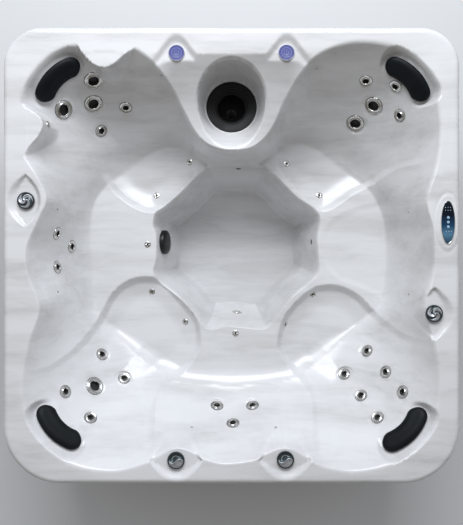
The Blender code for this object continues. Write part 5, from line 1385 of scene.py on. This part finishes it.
place("cartridge_ends", joinMeshes("cartridge_ends", [
    outwards(latheMesh("end", [(radius, height + base) for radius, height in capProfile], 96, filterFrame))
    for base in (low, high - filterSet["capHeight"])]), "tub",
    plasticLook("cartridgeEnd", (0.012, 0.012, 0.013), (0.008, 0.008, 0.009), (0.5, 0.65),
                Specular_IOR_Level=0.3))
print("filter")

# ---- suction cover on the footwell's left wall: a black dome with raised ribs
coverLook = plasticLook("coverBlack", (0.009, 0.01, 0.01), (0.006, 0.0065, 0.0065), (0.3, 0.45),
                        Specular_IOR_Level=0.35)
cover = {"depth": 0.03, "seat": 0.0006, "foot": 0.002, "wall": 0.014,
         "dome": ((0.0595, 0.0195), (0.054, 0.0225), (0.03, 0.0242), (0, 0.0246)),
         "ribHalf": (0.0017, 0.05), "ribLow": -0.002, "ribHigh": 0.0052, "ribBevel": 0.0012,
         "ribReach": 0.052, "ribRise": 0.0228}
coverProfile = ((0, -cover["depth"]), (suction["stem"], -cover["depth"]), (suction["stem"], cover["seat"]),
                (suction["radius"] - 0.0005, cover["seat"]), (suction["radius"], cover["foot"]),
                (suction["radius"], cover["wall"]), *cover["dome"])
place("suction_dome", outwards(latheMesh("suction_dome", coverProfile, 72, suctionFrame)), "tub",
      coverLook, ["suction_cover"])
ribX, ribY = cover["ribHalf"]
ribBlank = blockMesh("rib", (-ribX, -ribY, cover["ribLow"]), (ribX, ribY, cover["ribHigh"]),
                     cover["ribBevel"])
ribs = applyRule("ribs", ribBlank, ribRule, {"Count": suction["ribs"], "Radius": cover["ribReach"],
                                             "Rise": cover["ribRise"], "Finish": coverLook})
ribs.transform(suctionFrame)
place("suction_ribs", ribs, "tub", coverLook)
print("suction cover")

# ---- cabinet: wood-grain planks between satin corner mouldings, on a black base pan
cabinet = {"inset": 0.026, "wall": 0.016, "planks": 6, "low": 0.0503, "high": 0.8855, "bevel": 0.0036,
           "postGap": 0.002,
           "brown": (0.105, 0.078, 0.06), "dark": (0.052, 0.038, 0.03), "pale": (0.165, 0.128, 0.1),
           "screwRadius": 0.0042}


def plankLook(name, turned):
    # grain runs along the plank; each plank has its own shade
    look, tree, shader, here = newLook(name, cabinet["brown"], 0.55)
    apart = addNode(tree, "ShaderNodeSeparateXYZ", {0: here})
    pitch = (cabinet["high"] - cabinet["low"]) / cabinet["planks"]
    level = calculated(tree, "SUBTRACT", apart.outputs["Z"], cabinet["low"])
    share = calculated(tree, "DIVIDE", level, pitch)
    number = calculated(tree, "FLOOR", share)
    tone = addNode(tree, "ShaderNodeTexWhiteNoise", {"W": number}, noise_dimensions="1D").outputs["Value"]
    shift = addNode(tree, "ShaderNodeCombineXYZ", {"X": tone, "Y": tone, "Z": tone})
    moved = addNode(tree, "ShaderNodeVectorMath", {0: here, 1: shift.outputs[0]}, operation="ADD")
    drawn = addNode(tree, "ShaderNodeMapping", {"Vector": moved.outputs[0],
                                                "Scale": (60.0, 1.5, 42.0) if turned else (1.5, 60.0, 42.0)})
    grain = addNode(tree, "ShaderNodeTexNoise", {"Vector": drawn.outputs[0], "Scale": 1.6, "Detail": 6.0,
                                                 "Roughness": 0.65, "Distortion": 0.6}).outputs[0]
    rings = addNode(tree, "ShaderNodeTexNoise", {"Vector": drawn.outputs[0], "Scale": 0.42, "Detail": 2.0,
                                                 "Distortion": 1.4}).outputs[0]
    mixed = calculated(tree, "MULTIPLY", grain, rings)
    stretched = mapped(tree, mixed, 0.12, 0.4)
    colour = colourRamp(tree, stretched, (0.0, cabinet["dark"]), (0.5, cabinet["brown"]),
                        (1.0, cabinet["pale"]))
    toned = mapped(tree, tone, start=0.82, end=1.08)
    finishWith(tree, shader, blended(tree, 1.0, colour, toned, "MULTIPLY"),
               mapped(tree, grain, 0.3, 0.7, 0.62, 0.46), grain, 0.5, 0.0006)
    return look


woodAcross, woodAlong = plankLook("plankFrontBack", False), plankLook("plankSides", True)
metalLook = plasticLook("screwSteel", (0.6, 0.6, 0.58), (0.48, 0.48, 0.47), (0.25, 0.4), 700.0, 0.00003, 1.0)
pitch = (cabinet["high"] - cabinet["low"]) / cabinet["planks"]
face = tub["half"] - cabinet["inset"]
screwBlank = latheMesh("screw", ((0, -0.0008), (cabinet["screwRadius"], -0.0008),
                                 (cabinet["screwRadius"], 0.0006),
                                 (cabinet["screwRadius"] * 0.7, 0.0014),
                                 (cabinet["screwRadius"] * 0.3, 0.0016),
                                 (cabinet["screwRadius"] * 0.28, 0.0008), (0, 0.0008)), 12,
                       Matrix.Rotation(math.pi / 2, 4, "X"))
sides = (("front_panel", 0, tub["frontRadius"], tub["frontRadius"]),
         ("right_panel", 1, tub["frontRadius"], tub["backRadius"]),
         ("back_panel", 2, tub["backRadius"], tub["backRadius"]),
         ("left_panel", 3, tub["backRadius"], tub["frontRadius"]))
screwMeshes = []
for name, quarter, before, after in sides:
    start, end = -(tub["half"] - before) + cabinet["postGap"], tub["half"] - after - cabinet["postGap"]
    wood = woodAlong if quarter % 2 else woodAcross
    plank = blockMesh("plank", (start, -face, cabinet["low"] + 0.0002),
                      (end, -face + cabinet["wall"], cabinet["low"] + pitch - 0.0002), cabinet["bevel"])
    planks = applyRule("planks", plank, rowRule, {"Count": cabinet["planks"], "Start": (0, 0, 0),
                                                  "Step": (0, 0, pitch), "Finish": wood})
    quarterTurn = Matrix.Rotation(quarter * math.pi / 2, 4, "Z")
    planks.transform(quarterTurn)
    place(name + "_planks", planks, "tub", wood, [name], 40)
    for spot in (start + 0.03, end - 0.03):
        for lift in (0.3, 0.7):
            row = applyRule("screws", screwBlank, rowRule, {
                "Count": cabinet["planks"], "Start": (spot, -face, cabinet["low"] + pitch * lift),
                "Step": (0, 0, pitch), "Finish": metalLook})
            row.transform(quarterTurn)
            screwMeshes.append(row)
place("plank_screws", outwards(joinMeshes("plank_screws", screwMeshes), 0), "tub", metalLook)

postLook = plasticLook("cornerMoulding", (0.03, 0.03, 0.033), (0.02, 0.02, 0.023), (0.38, 0.55), 500.0,
                       0.00015)


def cornerPost(name, sideX, sideY, radius):
    turns, lips = 20, 0.0022
    rings = []
    for height, more in ((cabinet["low"], lips), (cabinet["low"] + lips, 0), (cabinet["high"] - lips, 0),
                         (cabinet["high"], lips)):
        outline = []
        for edge, steps in ((cabinet["inset"] + more, range(turns + 1)),
                            (cabinet["inset"] + cabinet["wall"] - more, range(turns, -1, -1))):
            for step in steps:
                angle = step / turns * math.pi / 2
                outline.append((sideX * (tub["half"] - radius + (radius - edge) * math.cos(angle)),
                                sideY * (tub["half"] - radius + (radius - edge) * math.sin(angle)), height))
        rings.append(outline)
    return outwards(loftMesh(name, rings))


for name, sideX, sideY, radius in (("front_left_post", -1, -1, tub["frontRadius"]),
                                   ("front_right_post", 1, -1, tub["frontRadius"]),
                                   ("back_left_post", -1, 1, tub["backRadius"]),
                                   ("back_right_post", 1, 1, tub["backRadius"])):
    place(name + "_moulding", cornerPost(name, sideX, sideY, radius), "tub", postLook, [name])
baseLook = plasticLook("panBlack", (0.028, 0.028, 0.03), (0.018, 0.018, 0.02), (0.5, 0.65), 300.0, 0.0003)
baseOutline = outlineLoop(cabinet["inset"], 0.03)[::-1]
baseRings = [[(x * share, y * share, height) for x, y in baseOutline]
             for share, height in ((0.997, 0.0), (1.0, 0.003), (1.0, 0.047), (0.999, 0.05))]
place("base_pan_moulding", outwards(loftMesh("base_pan_moulding", baseRings)), "tub", baseLook,
      ["base_pan"])
print("cabinet")

# ---- equipment behind the panels keeps its solids, with finishes of its own
metalBrush, gIn, gOut = newGroup("brushedMetal", "ShaderNodeTree", [("Vector", "NodeSocketVector", None)],
                                 [("Lines", "NodeSocketFloat")])
brushDrawn = addNode(metalBrush, "ShaderNodeMapping",
                     {"Vector": gIn.outputs[0], "Scale": (900.0, 30.0, 30.0)})
brushNoise = addNode(metalBrush, "ShaderNodeTexNoise",
                     {"Vector": brushDrawn.outputs[0], "Scale": 1.0, "Detail": 3.0})
metalBrush.links.new(brushNoise.outputs[0], gOut.inputs[0])


def heaterLook():
    look, tree, shader, here = newLook("heaterTube", (0.6, 0.6, 0.6), 0.3, 1.0)
    lines = useGroup(tree, metalBrush, {"Vector": here})[0]
    finishWith(tree, shader, colourRamp(tree, lines, (0.3, (0.46, 0.46, 0.46)), (0.7, (0.66, 0.66, 0.66))),
               mapped(tree, lines, 0.3, 0.7, 0.24, 0.4), lines, 0.2, 0.0001)
    return look


kept = {
    "pump": plasticLook("pumpPaint", (0.045, 0.045, 0.05), (0.03, 0.03, 0.034), (0.35, 0.5), 250.0, 0.0003),
    "heater": heaterLook(),
    "control_pack": plasticLook("packGrey", (0.3, 0.31, 0.32), (0.25, 0.26, 0.27), (0.45, 0.6), 400.0,
                                0.0002),
    "suction_pipe": plasticLook("pipeWhite", (0.72, 0.72, 0.7), (0.64, 0.64, 0.62), (0.35, 0.5), 600.0,
                                0.00005),
    "floor_support": plasticLook("supportFoam", (0.7, 0.7, 0.68), (0.6, 0.6, 0.58), (0.8, 0.95), 160.0,
                                 0.0012),
}
for name, look in kept.items():
    for slot in bpy.data.objects[name].material_slots:
        slot.material = look
print("equipment")
